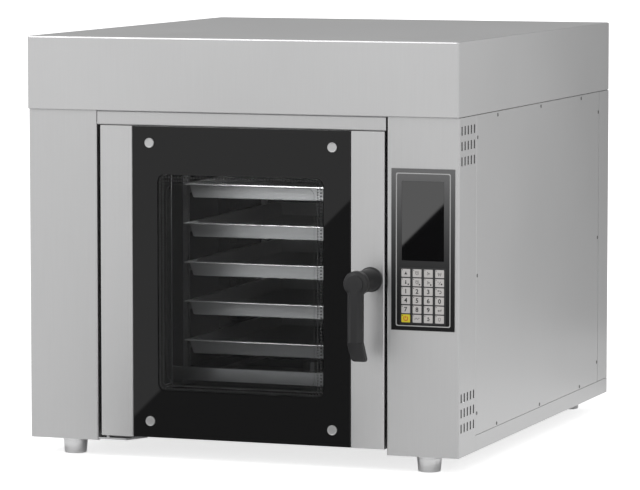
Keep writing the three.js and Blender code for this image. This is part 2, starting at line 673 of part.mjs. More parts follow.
// ---------------------------------------------------------------- rack drive
const deckTop = deckZ + sheet + seat;
const gearboxHalf = 55;
const gearboxHeight = 72;
const gearboxRing = (inset, z) => roundedRectangle(gearboxHalf - inset, gearboxHalf - inset, 12)
  .map(([x, y]) => [x + centreX, y + rackCentreV, z]);
const gearboxBody = loft([
  gearboxRing(3, deckTop + gearboxHeight), gearboxRing(0, deckTop + gearboxHeight - 3), gearboxRing(0, deckTop + 8),
  gearboxRing(-10, deckTop + 8), gearboxRing(-10, deckTop),
]);
const driveRadius = 28;
const driveFront = rackCentreV + gearboxHalf;
const driveProfile = [
  [0, driveFront - 10], [driveRadius, driveFront - 10], [driveRadius, driveFront], [driveRadius + 6, driveFront],
  [driveRadius + 6, driveFront + 6], [driveRadius, driveFront + 10], [driveRadius, driveFront + 120],
  [driveRadius - 5, driveFront + 128], [0, driveFront + 128],
];
const driveMotor = turned(driveProfile, "y").translate([centreX, 0, deckTop + driveRadius + 7]);
add(oven, "rack_gearmotor", cut(join(gearboxBody, driveMotor),
  rod("z", bearingBore, deckTop - 1, deckTop + gearboxHeight + 1, centreX, rackCentreV)), motorPaint);

const rackTop = firstTrayTop + (trayCount - 1) * trayPitch + rackHeadroom;
const flangeZ = chamberTop + sheet + seat;
const bearingProfile = [[bearingBore, flangeZ], [34, flangeZ], [34, flangeZ + 6], [18, flangeZ + 8],
  [18, flangeZ + 24], [bearingBore, flangeZ + 24], [bearingBore, flangeZ]];
add(oven, "shaft_bearing", turned(bearingProfile, "z").translate([centreX, rackCentreV, 0]), plainSteel);

const pivotTop = rackBaseLevel + 28;
const pivotProfile = [[0, wallLow], [32, wallLow], [32, wallLow + 5], [shaftRadius + 3, wallLow + 8],
  [shaftRadius + 3, rackBaseLevel - 6], [shaftRadius, rackBaseLevel - 6], [shaftRadius, pivotTop], [0, pivotTop]];
add(oven, "floor_pivot", turned(pivotProfile, "z").translate([centreX, rackCentreV, 0]), brightSteel);

// ---------------------------------------------------------------- rack
const front = rackCentreV - trayLength / 2;
const railTop = rackBaseLevel + railHeight;
const sideX = trayWidth / 2 + 8; // inner face of the posts, from the rack's axis
const barLevel = rackBaseLevel + 15;
const footBar = (end) => {
  const y0 = rackCentreV + end * rackHalfLength;
  const y1 = y0 - end * sheet;
  const y2 = y0 - end * 12;
  const [webFrom, webTo] = [Math.min(y0, y1), Math.max(y0, y1)];
  const [topFrom, topTo] = [Math.min(y0, y2), Math.max(y0, y2)];
  const legs = [-1, 1].map((side) => {
    const x = centreX + side * (sideX + postSize / 2);
    return box(x - 8, x + 8, topFrom, topTo, rackBaseLevel, barLevel + 4);
  });
  return join(
    box(centreX - rackHalfWidth, centreX + rackHalfWidth, webFrom, webTo, barLevel, barLevel + rackFootHeight),
    box(centreX - rackHalfWidth, centreX + rackHalfWidth, topFrom, topTo, barLevel + rackFootHeight - sheet,
      barLevel + rackFootHeight),
    ...legs,
  );
};
const rails = [-1, 1].map((side) => {
  const x = centreX + side * (sideX + postSize / 2);
  return box(x - 8, x + 8, rackCentreV - rackHalfLength, rackCentreV + rackHalfLength, rackBaseLevel, railTop);
});
const hubBush = rod("z", 24, rackBaseLevel - 2, rackBaseLevel + 30, centreX, rackCentreV);
const pivotBore = rod("z", bearingBore, rackBaseLevel - 10, pivotTop + 0.5, centreX, rackCentreV);
add(rack, "rack_base", cut(join(
  box(centreX - sideX - postSize, centreX + sideX + postSize, rackCentreV - 25, rackCentreV + 25, rackBaseLevel,
    railTop), ...rails, footBar(-1), footBar(1), hubBush), pivotBore), brightSteel);

const postFrom = front + postInset;
function sideFrame(side) {
  const bars = [];
  const along = (near, far, y0, y1, z0, z1) => {
    const a = centreX + side * near;
    const b = centreX + side * far;
    bars.push(box(Math.min(a, b), Math.max(a, b), y0, y1, z0, z1));
  };
  const rear = 2 * rackCentreV - postFrom;
  along(sideX, sideX + postSize, postFrom, postFrom + postSize, railTop + seat, rackTop);
  along(sideX, sideX + postSize, rear - postSize, rear, railTop + seat, rackTop);
  along(sideX, sideX + postSize, postFrom, rear, rackTop - railHeight, rackTop);
  for (let i = 0; i < trayCount; i++) {
    const top = firstTrayTop + i * trayPitch - rimThickness - seat;
    along(sideX - 1, sideX + 1, postFrom - 8, front + trayLength, top - slideHeight, top);
    along(sideX + 1 - slideFlange, sideX + 1, postFrom - 8, front + trayLength, top - sheet, top);
  }
  return join(...bars);
}
add(rack, "rack_left_frame", sideFrame(-1), brightSteel);
add(rack, "rack_right_frame", sideFrame(1), brightSteel);

const tieZ = rackTop + seat;
add(rack, "rack_top_tie", cut(join(
  box(centreX - sideX - postSize, centreX + sideX + postSize, rackCentreV - 30, rackCentreV + 30, tieZ,
    tieZ + tieHeight),
  rod("z", 24, tieZ - 18, tieZ + 26, centreX, rackCentreV),
), rod("z", bearingBore, tieZ - 12, tieZ + 40, centreX, rackCentreV)), brightSteel);
add(rack, "drive_shaft", rod("z", shaftRadius, tieZ - 12 + seat, deckTop + gearboxHeight - 4, centreX, rackCentreV,
  16), brightSteel);

const trayProfile = [
  [rimWidth + wallFlare, -trayHeight], [rimWidth + 0.5, -1.6], [3, -1.6], [2, -rimThickness],
  [0.4, -rimThickness], [0, -1.2], [1, 0], [rimWidth + 2, 0], [rimWidth + wallFlare + 1.5, -trayHeight + 1.5],
];
for (let i = 0; i < trayCount; i++) {
  const top = firstTrayTop + i * trayPitch;
  const tray = moving(rack, centreX, rackCentreV, top);
  const rings = trayProfile.map(([inset, z]) =>
    roundedRectangle(trayWidth / 2 - inset, trayLength / 2 - inset, trayCorner, 3)
      .map(([x, y]) => [x + centreX, y + rackCentreV, z + top]));
  add(tray, "tray_" + (i + 1), loft(rings), brightSteel);
}

// ---------------------------------------------------------------- door
const glassFront = seat;
const pocket = [
  [doorLeft + half, doorThickness - sheet - seat], [doorLeft + half, half], [glassLeft - half, half],
  [glassLeft - half, glassSeatV + half], [glassRight + half, glassSeatV + half], [glassRight + half, half],
  [doorRight - half, half], [doorRight - half, doorThickness - sheet - seat],
];
const skinV = doorThickness - sheet;
const endPlan = [
  [doorLeft + 1, skinV - seat], [doorLeft + 1, 1], [glassLeft - 1, 1], [glassLeft - 1, glassSeatV + 1],
  [glassRight + 1, glassSeatV + 1], [glassRight + 1, 1], [doorRight - 1, 1], [doorRight - 1, skinV - seat],
];
const windowOutline = (grow) => roundedRectangle((windowRight - windowLeft) / 2 + grow,
  (windowTop - windowBottom) / 2 + grow, windowCorner + grow, 3)
  .map(([x, z]) => [x + (windowLeft + windowRight) / 2, z + (windowTop + windowBottom) / 2]);
const innerGlassV = skinV - seat - innerGlassThickness;
const reveal = prism(windowOutline(sheet), "y", glassSeatV + 0.5, innerGlassV - seat);
const through = (from, to) => prism(windowOutline(0), "y", from, to);
const bush = (z0, z1) => rod("z", pinRadius + 3.4, z0, z1, hingeX, hingeDepth);
const pinBore = rod("z", pinRadius + runningFit, doorBottom - 1, doorTop + 1, hingeX, hingeDepth);
const capPlaces = [
  [glassLeft + capInset, doorTop - capRise], [glassRight - capInset, doorTop - capRise],
  [glassLeft + capInset, doorBottom + capRise], [glassRight - capInset, doorBottom + capRise],
];
const capHoles = capPlaces.map(([x, z]) => rod("y", stemRadius + runningFit, -1, glassSeatV + 2 * sheet, x, z, 12));
const spindleBore = rod("y", spindleRadius + runningFit, -5, doorThickness + 5, handleX, handleHeight);
const doorPan = join(
  prism(folded(pocket, sheet, 1.6), "z", doorBottom, doorTop),
  prism(endPlan, "z", doorBottom, doorBottom + sheet),
  prism(endPlan, "z", doorTop - sheet, doorTop),
  reveal, bush(doorBottom + 1, doorBottom + 26), bush(doorTop - 26, doorTop - 1),
);
add(door, "door_frame", cut(doorPan, through(glassSeatV - 2, skinV), pinBore, ...capHoles, spindleBore), casingSteel);
add(door, "door_inner_skin", cut(box(doorLeft, doorRight, skinV, doorThickness, doorBottom, doorTop),
  box(windowLeft, windowRight, skinV - 2, doorThickness + 2, windowBottom, windowTop), spindleBore), casingSteel);
add(door, "outer_glass", cut(box(glassLeft + seat, glassRight - seat, glassFront, glassFront + glassThickness,
  doorBottom + seat, doorTop - seat), ...capHoles), blackGlass);
add(door, "inner_glass", box(windowLeft - innerGlassLap, windowRight + innerGlassLap, innerGlassV,
  innerGlassV + innerGlassThickness, windowBottom - innerGlassLap, windowTop + innerGlassLap), clearGlass);

capPlaces.forEach(([x, z], i) => {
  const profile = [[0, -3.8], [capRadius - 1.2, -3.8], [capRadius, -2.8], [capRadius, 0], [stemRadius, 0],
    [stemRadius, glassSeatV + 12], [0, glassSeatV + 12]];
  add(door, "glass_cap_" + (i + 1), turned(profile, "y", 20).translate([x, 0, z]), brightSteel);
});

// ---------------------------------------------------------------- handle
const bore = spindleRadius + runningFit;
const bossBack = -handleReach + bossDepth;
const hubProfile = [[bore, -seat], [hubRadius + 3, -seat], [hubRadius + 3, -4], [hubRadius, -7],
  [hubRadius, bossBack + seat], [bore, bossBack + seat], [bore, -seat]];
add(door, "handle_hub", turned(hubProfile, "y", 22).translate([handleX, 0, handleHeight]), blackPlastic);

const discRise = 5;
const bossProfile = [
  [0, -handleReach], [discRadius - 1, -handleReach], [discRadius, -handleReach + 1],
  [discRadius, -handleReach + discRise], [bossRadius - 3, -handleReach + discRise + 1],
  [bossRadius, -handleReach + discRise + 4], [bossRadius, bossBack - 3], [bossRadius - 3, bossBack], [0, bossBack],
];
const boss = turned(bossProfile, "y", 24).translate([handleX, 0, handleHeight]);
const leverSection = (z, back, shrink) => {
  const flat = 7.3 - shrink;
  const side = leverWidth / 2 - shrink;
  const y = -handleReach + back + shrink;
  return [
    [-flat, y], [flat, y], [side, y + 8], [side, y + leverThickness - 7 - 2 * shrink],
    [side - 5, y + leverThickness - 2 * shrink], [5 - side, y + leverThickness - 2 * shrink],
    [-side, y + leverThickness - 7 - 2 * shrink], [-side, y + 8],
  ].map(([dx, yy]) => [handleX + dx, yy, handleHeight + z]);
};
const lever = loft([
  leverSection(0, 0, 0), leverSection(-leverKink, 0, 0),
  leverSection(-leverLength + 4, kinkReturn * 0.93, 1.4), leverSection(-leverLength, kinkReturn, 4),
]);
add(handle, "handle_lever", cut(join(boss, lever), rod("y", bore, bossBack - 14, bossBack + 2, handleX,
  handleHeight)), blackPlastic);
add(handle, "latch_spindle", rod("y", spindleRadius, bossBack - 13, tongueV + tongueThickness + 1, handleX,
  handleHeight), brightSteel);
const tongueHalf = tongueWidth / 2;
const tonguePlan = [
  [-tongueHalf, tongueHalf], [-tongueHalf, 5 - tongueLength], [4 - tongueHalf, -tongueLength],
  [tongueHalf - 4, -tongueLength], [tongueHalf, 5 - tongueLength], [tongueHalf, tongueHalf],
];
add(handle, "latch_tongue", cut(
  prism(tonguePlan.map(([x, z]) => [x + handleX, z + handleHeight]), "y", tongueV, tongueV + tongueThickness),
  rod("y", spindleRadius + seat / 2, tongueV - 1, tongueV + tongueThickness + 1, handleX, handleHeight),
), brightSteel);

// ---------------------------------------------------------------- controls
const controlRight = controlLeft + controlWidth;
const controlTop = controlBottom + controlHeight;
const controlMiddle = (controlLeft + controlRight) / 2;
const plateFront = -seat - controlPlate;
const displayTop = controlTop - displayTopMargin;
const recess = 1.4;
const keyField = [keyPitchX * (keyColumns - 1) + keyWidth, keyPitchZ * (keyRows - 1) + keyHeight];
const keyLeft = controlMiddle - keyField[0] / 2;
const keyLow = controlBottom + keyBottomMargin;
const membraneMargin = 3;
const displayBox = (grow, from, to) => box(controlMiddle - displayWidth / 2 - grow,
  controlMiddle + displayWidth / 2 + grow, from, to, displayTop - displayHeight - grow, displayTop + grow);
const keypadBox = (grow, from, to) => box(keyLeft - membraneMargin - grow, keyLeft + keyField[0] + membraneMargin
  + grow, from, to, keyLow - membraneMargin - grow, keyLow + keyField[1] + membraneMargin + grow);
add(oven, "control_panel", cut(join(
  box(controlLeft, controlRight, plateFront, -seat, controlBottom, controlTop),
  box(controlLeft + housingMargin, controlRight - housingMargin, -seat - 0.5, controlHousingDepth,
    controlBottom + housingMargin, controlTop - housingMargin),
), displayBox(seat, plateFront - 1, plateFront + recess), keypadBox(seat, plateFront - 1, plateFront + recess)),
panelBlack);
add(oven, "display_window", displayBox(0, plateFront + 0.1, plateFront + recess - seat), blackGlass);
const membraneFront = plateFront + 0.3;
const keys = steps(keyColumns * keyRows, (i) => {
  const x = keyLeft + keyPitchX * (i % keyColumns);
  const z = keyLow + keyPitchZ * Math.floor(i / keyColumns);
  return box(x, x + keyWidth, membraneFront - keyRise, membraneFront + 0.2, z, z + keyHeight);
});
add(oven, "keypad", join(keypadBox(0, membraneFront, plateFront + recess - seat), ...keys), keyGrey);

export default oven;
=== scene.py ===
import math

import bmesh
import bpy
import numpy as np
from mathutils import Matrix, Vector


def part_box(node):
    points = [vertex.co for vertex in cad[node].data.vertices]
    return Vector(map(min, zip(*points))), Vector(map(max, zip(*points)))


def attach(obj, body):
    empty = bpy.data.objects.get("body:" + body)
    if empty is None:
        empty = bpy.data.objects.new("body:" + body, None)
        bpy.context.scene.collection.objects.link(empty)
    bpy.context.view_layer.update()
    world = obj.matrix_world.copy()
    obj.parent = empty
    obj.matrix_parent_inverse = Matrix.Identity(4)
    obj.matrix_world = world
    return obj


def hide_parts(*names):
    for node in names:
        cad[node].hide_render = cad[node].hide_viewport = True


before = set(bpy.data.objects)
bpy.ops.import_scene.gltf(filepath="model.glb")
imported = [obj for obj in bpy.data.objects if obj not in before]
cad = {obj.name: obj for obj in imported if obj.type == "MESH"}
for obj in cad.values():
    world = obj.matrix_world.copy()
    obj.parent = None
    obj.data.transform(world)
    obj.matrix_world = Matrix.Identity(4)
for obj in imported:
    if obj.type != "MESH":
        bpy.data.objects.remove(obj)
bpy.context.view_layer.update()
scene = bpy.context.scene


# ---------------------------------------------------------------- camera and studio
# A long lens three quarters from the right, a little above the oven's roof.
# The room is a white sweep: white floor, white surroundings, and grey cards that only mirror-like parts see.
photo_width = 640
focal_pixels = 3946.0
sensor_width = 36.0
camera_drop, camera_turn = 0.09477, 0.346835  # radians
camera_data = bpy.data.cameras.new("camera")
camera_data.sensor_width = sensor_width
camera_data.lens = focal_pixels / photo_width * sensor_width
camera_data.clip_end = 60.0
camera = bpy.data.objects.new("camera", camera_data)
camera.location = (3.06672, -8.51636, 1.29474)
camera.rotation_euler = (math.pi / 2 - camera_drop, 0.0, camera_turn)
scene.collection.objects.link(camera)
scene.camera = camera
scene.view_settings.view_transform = "Standard"


def shader_of(material):
    """The material's Principled shader."""
    return material.node_tree.nodes["Principled BSDF"]


def new_material(name, color, roughness, metallic=0.0):
    """A node material with one Principled shader, whose plain sockets are set here."""
    material = bpy.data.materials.new(name)
    material.use_nodes = True
    shader = shader_of(material)
    shader.inputs["Base Color"].default_value = (*color, 1.0)
    shader.inputs["Roughness"].default_value = roughness
    shader.inputs["Metallic"].default_value = metallic
    return material


def feed(tree, socket, source):
    """Links a socket to the socket that feeds it, or gives it a plain value."""
    if isinstance(source, bpy.types.NodeSocket):
        tree.links.new(source, socket)
    else:
        socket.default_value = source


def add_node(tree, kind, *sources, **values):
    """A node of that kind. Sources feed its inputs in order, and values its inputs or properties by name."""
    node = tree.nodes.new(kind)
    for name, value in values.items():
        if name in node.inputs:
            feed(tree, node.inputs[name], value)
        else:
            setattr(node, name, value)
    for socket, source in zip(node.inputs, sources):
        feed(tree, socket, source)
    return node


def mixed(tree, share, first, second, kind="FLOAT", blend="MIX"):
    """Two numbers, or two colours with kind RGBA, blended by a share from 0 to 1."""
    mix = add_node(tree, "ShaderNodeMix", share, data_type=kind, blend_type=blend)
    first_input, result = (2, 0) if kind == "FLOAT" else (6, 2)
    feed(tree, mix.inputs[first_input], first)
    feed(tree, mix.inputs[first_input + 1], second)
    return mix.outputs[result]


# The surroundings light the oven a little less than they show white to the eye, in mirrors and through glass.
white = (1.0, 1.0, 1.0, 1.0)
lighting_level, seen_level = 0.75, 1.0
world = bpy.data.worlds.new("white_surroundings")
world.use_nodes = True
scene.world = world
sky = world.node_tree
rays = add_node(sky, "ShaderNodeLightPath").outputs
mirrored = add_node(sky, "ShaderNodeMath", rays["Is Camera Ray"], rays["Is Glossy Ray"], operation="MAXIMUM")
seen = add_node(sky, "ShaderNodeMath", mirrored.outputs[0], rays["Is Transmission Ray"], operation="MAXIMUM")
level = add_node(sky, "ShaderNodeMapRange", seen.outputs[0],
                 **{"To Min": lighting_level, "To Max": seen_level})
feed(sky, sky.nodes["Background"].inputs["Strength"], level.outputs[0])
sky.nodes["Background"].inputs["Color"].default_value = white


def stage_plane(name, corners, material, only_reflected=False):
    """A flat four-cornered part of the studio, which belongs to no body."""
    mesh = bpy.data.meshes.new(name)
    mesh.from_pydata(corners, [], [(0, 1, 2, 3)])
    mesh.materials.append(material)
    plane = bpy.data.objects.new(name, mesh)
    scene.collection.objects.link(plane)
    if only_reflected:
        plane.visible_camera = False
        plane.visible_diffuse = False
        plane.visible_shadow = False


def upright(left, right, y, foot, head):
    """The corners of a card that stands square to the y axis."""
    return [(left, y, foot), (right, y, foot), (right, y, head), (left, y, head)]


def lying(left, right, near, far, z):
    """The corners of a card that lies level."""
    return [(left, near, z), (right, near, z), (right, far, z), (left, far, z)]


floor_reach = 30.0
floor_mirrored, floor_seen = 0.05, 0.72
floor_paint = new_material("white_floor", (0.8, 0.8, 0.8), 0.9)
tree = floor_paint.node_tree
rays = add_node(tree, "ShaderNodeLightPath").outputs
shine = add_node(tree, "ShaderNodeMath", rays["Is Glossy Ray"], floor_mirrored, operation="MULTIPLY")
glow = add_node(tree, "ShaderNodeMath", rays["Is Camera Ray"], floor_seen, shine.outputs[0],
                operation="MULTIPLY_ADD")
feed(tree, shader_of(floor_paint).inputs["Emission Strength"], glow.outputs[0])
shader_of(floor_paint).inputs["Emission Color"].default_value = white
stage_plane("floor", lying(-floor_reach, floor_reach, -floor_reach, floor_reach, 0), floor_paint)


def card_paint(name, strength):
    """A glowing card. Its strength is a number, or what a function makes of it in the card's node tree."""
    material = bpy.data.materials.new(name)
    material.use_nodes = True
    tree = material.node_tree
    tree.nodes.clear()
    glow = add_node(tree, "ShaderNodeEmission", Strength=strength(tree) if callable(strength) else strength)
    add_node(tree, "ShaderNodeOutputMaterial", glow.outputs[0])
    return material


# A card far behind greys what the flat top and the right side mirror. A smaller one close behind that side,
# and a patch on the floor beside it, even out the side's rear edge and its foot.
patch_z = 0.002
for name, corners, strength in (
    ("back_card", upright(-12.0, 2.15, 4.5, 0.1, 6.0), 0.39),
    ("rear_card", upright(0.60, 1.02, 1.1, 0.12, 1.5), 0.43),
    ("side_patch", lying(0.53, 1.3, -0.5, 0.95, patch_z), 0.88),
):
    stage_plane(name, corners, card_paint(name, strength), only_reflected=True)

# The door glass and the display mirror two tones, pale above a slanting edge and dark below it. They lie on
# a card in front of the oven and on the floor before it, split by the plane through the mirrored eye and the
# edge on the glass. Only the first bounce sees them, and every later one sees white.
glass_plane_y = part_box("outer_glass")[0].y
mirrored_eye = np.array([camera.location.x, 2 * glass_plane_y - camera.location.y, camera.location.z])
front_card_y = -4.5
second_bounce = 1.5  # between the ray depths of the first bounce and the second


def on_glass(x, z):
    """A point of the glass's front plane."""
    return np.array([x, glass_plane_y, z])


door_edge, display_edge = on_glass(-0.240, 0.107), on_glass(0.372, 0.494)
edge_run = on_glass(0.254, 0.589) - door_edge
divide_foot, divide_head = on_glass(0.320, 0.0), on_glass(0.320, 1.0)
pale_tone, door_dark, display_dark = 0.62, 0.16, 0.02
edge_softness, divide_softness = 0.004, 0.002


def mirrored_onto(point, axis, level):
    """Where the ray from the mirrored eye through a point of the glass meets a plane square to an axis."""
    way = point - mirrored_eye
    return mirrored_eye + way * ((level - mirrored_eye[axis]) / way[axis])


def side_of_edge(tree, position, first, second, softness):
    """1 on one side of the plane through the mirrored eye and two points of the glass, 0 on the other."""
    normal = np.cross(first - mirrored_eye, second - mirrored_eye)
    normal /= np.linalg.norm(normal)
    middle = float(normal @ mirrored_eye)
    reach = add_node(tree, "ShaderNodeVectorMath", position, normal.tolist(), operation="DOT_PRODUCT")
    ramp = add_node(tree, "ShaderNodeMapRange", reach.outputs["Value"],
                    **{"From Min": middle - softness, "From Max": middle + softness})
    return ramp.outputs[0]


def two_tones(tree):
    """Left and right of the divide, the door's and the display's own edge and dark tone. After the first
    bounce all is white."""
    place = add_node(tree, "ShaderNodeTexCoord").outputs["Object"]
    tones = []
    for start, dark in ((door_edge, door_dark), (display_edge, display_dark)):
        above = side_of_edge(tree, place, start, start + edge_run, edge_softness)
        tone = add_node(tree, "ShaderNodeMapRange", above, **{"To Min": dark, "To Max": pale_tone})
        tones.append(tone.outputs[0])
    tone = mixed(tree, side_of_edge(tree, place, divide_head, divide_foot, divide_softness), *tones)
    bounces = add_node(tree, "ShaderNodeLightPath").outputs["Ray Depth"]
    first = add_node(tree, "ShaderNodeMath", bounces, second_bounce, operation="LESS_THAN")
    return mixed(tree, first.outputs[0], 1.0, tone)


front_paint = card_paint("front_card", two_tones)
card_left, card_right, patch_right, card_foot, card_head = -0.26, 0.48, 0.256, 0.02, 0.76
left_x, _, high_z = mirrored_onto(on_glass(card_left, card_head), 1, front_card_y)
right_x = mirrored_onto(on_glass(card_right, card_head), 1, front_card_y)[0]
front_corners = upright(left_x, right_x, front_card_y, patch_z, high_z)
stage_plane("front_card", front_corners, front_paint, only_reflected=True)
patch_near = [mirrored_onto(on_glass(x, card_foot), 2, patch_z) for x in (card_left, patch_right)]
patch_far = [(mirrored_onto(on_glass(x, card_head), 1, front_card_y)[0], front_card_y, patch_z)
             for x in (patch_right, card_left)]
stage_plane("front_patch", [*patch_near, *patch_far], front_paint, only_reflected=True)


def area_lamp(name, place, aim, width, depth, power):
    """A soft lamp that looks at a point, of that width and depth."""
    data = bpy.data.lights.new(name, "AREA")
    data.shape = "RECTANGLE"
    data.size, data.size_y = width, depth
    data.energy = power
    lamp = bpy.data.objects.new(name, data)
    lamp.location = place
    lamp.rotation_euler = (Vector(aim) - Vector(place)).to_track_quat("-Z", "Y").to_euler()
    scene.collection.objects.link(lamp)


area_lamp("high_front_lamp", (-2.6, -4.2, 4.2), (0.0, -0.3, 0.5), 2.6, 2.6, 75)


# ---------------------------------------------------------------- casing
# Folded sheets of satin stainless steel: two front panels, two sides, the back, the hood and the header. The
# base frame and the door's pan and inner skin are of the same sheet. It is brushed before it is cut, so a
# faint upright grain runs through all of it.
def grain_group():
    """Fine grain and broad clouding: noise stretched by Grain Scale, and slow noise, each about its middle.
    Tone multiplies a colour, Roughness replaces one, and Height feeds a bump."""
    group = bpy.data.node_groups.new("grain", "ShaderNodeTree")
    for label, kind, value in (
        ("Grain Scale", "NodeSocketVector", (900.0, 900.0, 12.0)),
        ("Grain Depth", "NodeSocketFloat", 0.05),
        ("Cloud Scale", "NodeSocketFloat", 3.2),
        ("Cloud Depth", "NodeSocketFloat", 0.03),
        ("Roughness", "NodeSocketFloat", 0.36),
        ("Roughness Spread", "NodeSocketFloat", 0.08),
    ):
        socket = group.interface.new_socket(name=label, in_out="INPUT", socket_type=kind)
        socket.default_value = value
    for label in ("Tone", "Roughness", "Height"):
        group.interface.new_socket(name=label, in_out="OUTPUT", socket_type="NodeSocketFloat")
    enter = add_node(group, "NodeGroupInput").outputs
    place = add_node(group, "ShaderNodeTexCoord").outputs["Object"]
    stretch = add_node(group, "ShaderNodeVectorMath", place, enter["Grain Scale"], operation="MULTIPLY")
    fine = add_node(group, "ShaderNodeTexNoise", Vector=stretch.outputs[0], Scale=1.0, Detail=3.0)
    slow = add_node(group, "ShaderNodeTexNoise", Vector=place, Scale=enter["Cloud Scale"], Detail=2.0)

    def scaled(noise, amount, start):
        """Start plus amount times the noise less a half."""
        less = add_node(group, "ShaderNodeMath", noise.outputs["Fac"], 0.5, operation="SUBTRACT")
        part = add_node(group, "ShaderNodeMath", less.outputs[0], enter[amount], start,
                        operation="MULTIPLY_ADD")
        return part.outputs[0]

    tone = scaled(slow, "Cloud Depth", scaled(fine, "Grain Depth", 1.0))
    roughness = scaled(slow, "Roughness Spread", enter["Roughness"])
    add_node(group, "NodeGroupOutput", tone, roughness, fine.outputs["Fac"])
    return group


grain_effect = grain_group()
relief_height = 0.001


def grained(name, color, metallic, roughness, scale, depth=0.06, cloud=0.05, spread=0.08, bump=0.02, **plain):
    """A material whose colour, roughness and bump follow the grain. Sockets that are the same all over, such
    as IOR, come by name."""
    material = new_material(name, color, roughness, metallic)
    tree = material.node_tree
    shader = shader_of(material)
    grain = add_node(tree, "ShaderNodeGroup", node_tree=grain_effect, Roughness=roughness, **{
        "Grain Scale": scale, "Grain Depth": depth, "Cloud Depth": cloud, "Roughness Spread": spread}).outputs
    relief = add_node(tree, "ShaderNodeBump", Strength=bump, Distance=relief_height, Height=grain["Height"])
    tone = mixed(tree, 1.0, (*color, 1.0), grain["Tone"], "RGBA", "MULTIPLY")
    feed(tree, shader.inputs["Base Color"], tone)
    feed(tree, shader.inputs["Roughness"], grain["Roughness"])
    feed(tree, shader.inputs["Normal"], relief.outputs["Normal"])
    for label, value in plain.items():
        shader.inputs[label.replace("_", " ")].default_value = value
    return material


def paint_cad(material, *names):
    """Gives CAD nodes their finish."""
    for name in names:
        mesh = cad[name].data
        mesh.materials.clear()
        mesh.materials.append(material)


def even(scale):
    """A grain without direction."""
    return (scale, scale, scale)


upright_grain, even_grain = (700.0, 700.0, 9.0), even(400.0)
casing_steel = grained("casing_steel", (0.59, 0.59, 0.592), 1.0, 0.38, upright_grain)
paint_cad(casing_steel, "left_front_panel", "right_front_panel", "left_side_panel", "right_side_panel",
          "back_panel", "header_strip", "base_frame")
# Painted light: the hood's and the door's copies of this steel are a little lighter than the casing's.
hood_steel_painted_light = grained("hood_steel_painted_light", (0.612, 0.612, 0.614), 1.0, 0.38, upright_grain)
paint_cad(hood_steel_painted_light, "hood")
door_steel_painted_light = grained("door_steel_painted_light", (0.615, 0.615, 0.617), 1.0, 0.38, upright_grain)
paint_cad(door_steel_painted_light, "door_frame", "door_inner_skin")

# ---------------------------------------------------------------- base and structure
# Mill-finish steel that the casing hides: the deck under the hood, the folded sill that joins the base to the
# front frame, and the turned bearing on the chamber's roof, in which the rack's shaft runs.
mill_steel = grained("mill_steel", (0.58, 0.58, 0.59), 1.0, 0.5, even_grain, depth=0.12, cloud=0.12)
paint_cad(mill_steel, "roof_deck", "door_sill", "shaft_bearing")

# ---------------------------------------------------------------- side screws
# Low round screws with a small socket, near black, down both edges and along the top and bottom of
# the side panels. They pull the panel's flanges on to the frame.
def skin(rings, loop=False):
    """Quads between neighbouring rings of equally many points. The last ring meets the first one if it loops,
    or else a flat face closes each end. The result, (points, faces), faces out by its signed volume."""
    rings = np.asarray(rings, dtype=float)
    count, across = rings.shape[:2]
    points = rings.reshape(-1, 3)
    start = np.arange(count if loop else count - 1)[:, None] * across
    here = np.arange(across)[None, :]
    beside = (here + 1) % across
    ahead = (start + across) % (count * across)
    quads = np.stack([start + here, start + beside, ahead + beside, ahead + here], axis=-1).reshape(-1, 4)
    volume = signed_volume(points, quads)
    faces = quads.tolist()
    if not loop:
        caps = np.array([np.arange(across)[::-1], np.arange(across) + (count - 1) * across])
        volume += signed_volume(points, caps)
        faces += caps.tolist()
    if volume < 0:
        faces = [face[::-1] for face in faces]
    return points, faces


def signed_volume(points, faces):
    """A sixth of the sum, over the fan triangles of each face, of a . (b x c)."""
    first = points[faces[:, :1]]
    second = points[faces[:, 1:-1]]
    third = points[faces[:, 2:]]
    return float((first * np.cross(second, third)).sum()) / 6


def lathe(profile, axis, centre, steps=48):
    """A profile of (radius, place along the axis) turned about an axis through centre, flat at both ends."""
    profile = np.asarray(profile, dtype=float)
    angle = np.linspace(0, 2 * math.pi, steps, endpoint=False)
    across = [k for k in range(3) if k != axis]
    rings = np.empty((len(profile), steps, 3))
    rings[:, :, axis] = profile[:, 1:]
    rings[:, :, across[0]] = profile[:, :1] * np.cos(angle)
    rings[:, :, across[1]] = profile[:, :1] * np.sin(angle)
    return skin(rings + np.asarray(centre))


def make_piece(name, parts, materials, body, smooth=30, replaces=(), regions=None):
    """One object from (points, faces) parts, smooth up to that angle. It rides on a body and may stand for
    CAD nodes."""
    points, faces = [], []
    for part_points, part_faces in parts:
        shift = sum(len(some) for some in points)
        points.append(part_points)
        faces += [[corner + shift for corner in face] for face in part_faces]
    mesh = bpy.data.meshes.new(name)
    mesh.from_pydata(np.concatenate(points).tolist(), [], faces)
    mesh.polygons.foreach_set("use_smooth", np.ones(len(faces), dtype=bool))
    mesh.set_sharp_from_angle(angle=math.radians(smooth))
    for material in materials:
        mesh.materials.append(material)
    if regions is not None:
        mesh.polygons.foreach_set("material_index", np.asarray(regions, dtype=np.int32))
    mesh.update()
    piece = bpy.data.objects.new(name, mesh)
    scene.collection.objects.link(piece)
    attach(piece, body)
    if replaces:
        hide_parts(*replaces)
    return piece


def corners_of(node):
    """A node's lowest and highest corners as arrays."""
    low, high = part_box(node)
    return np.array(low), np.array(high)


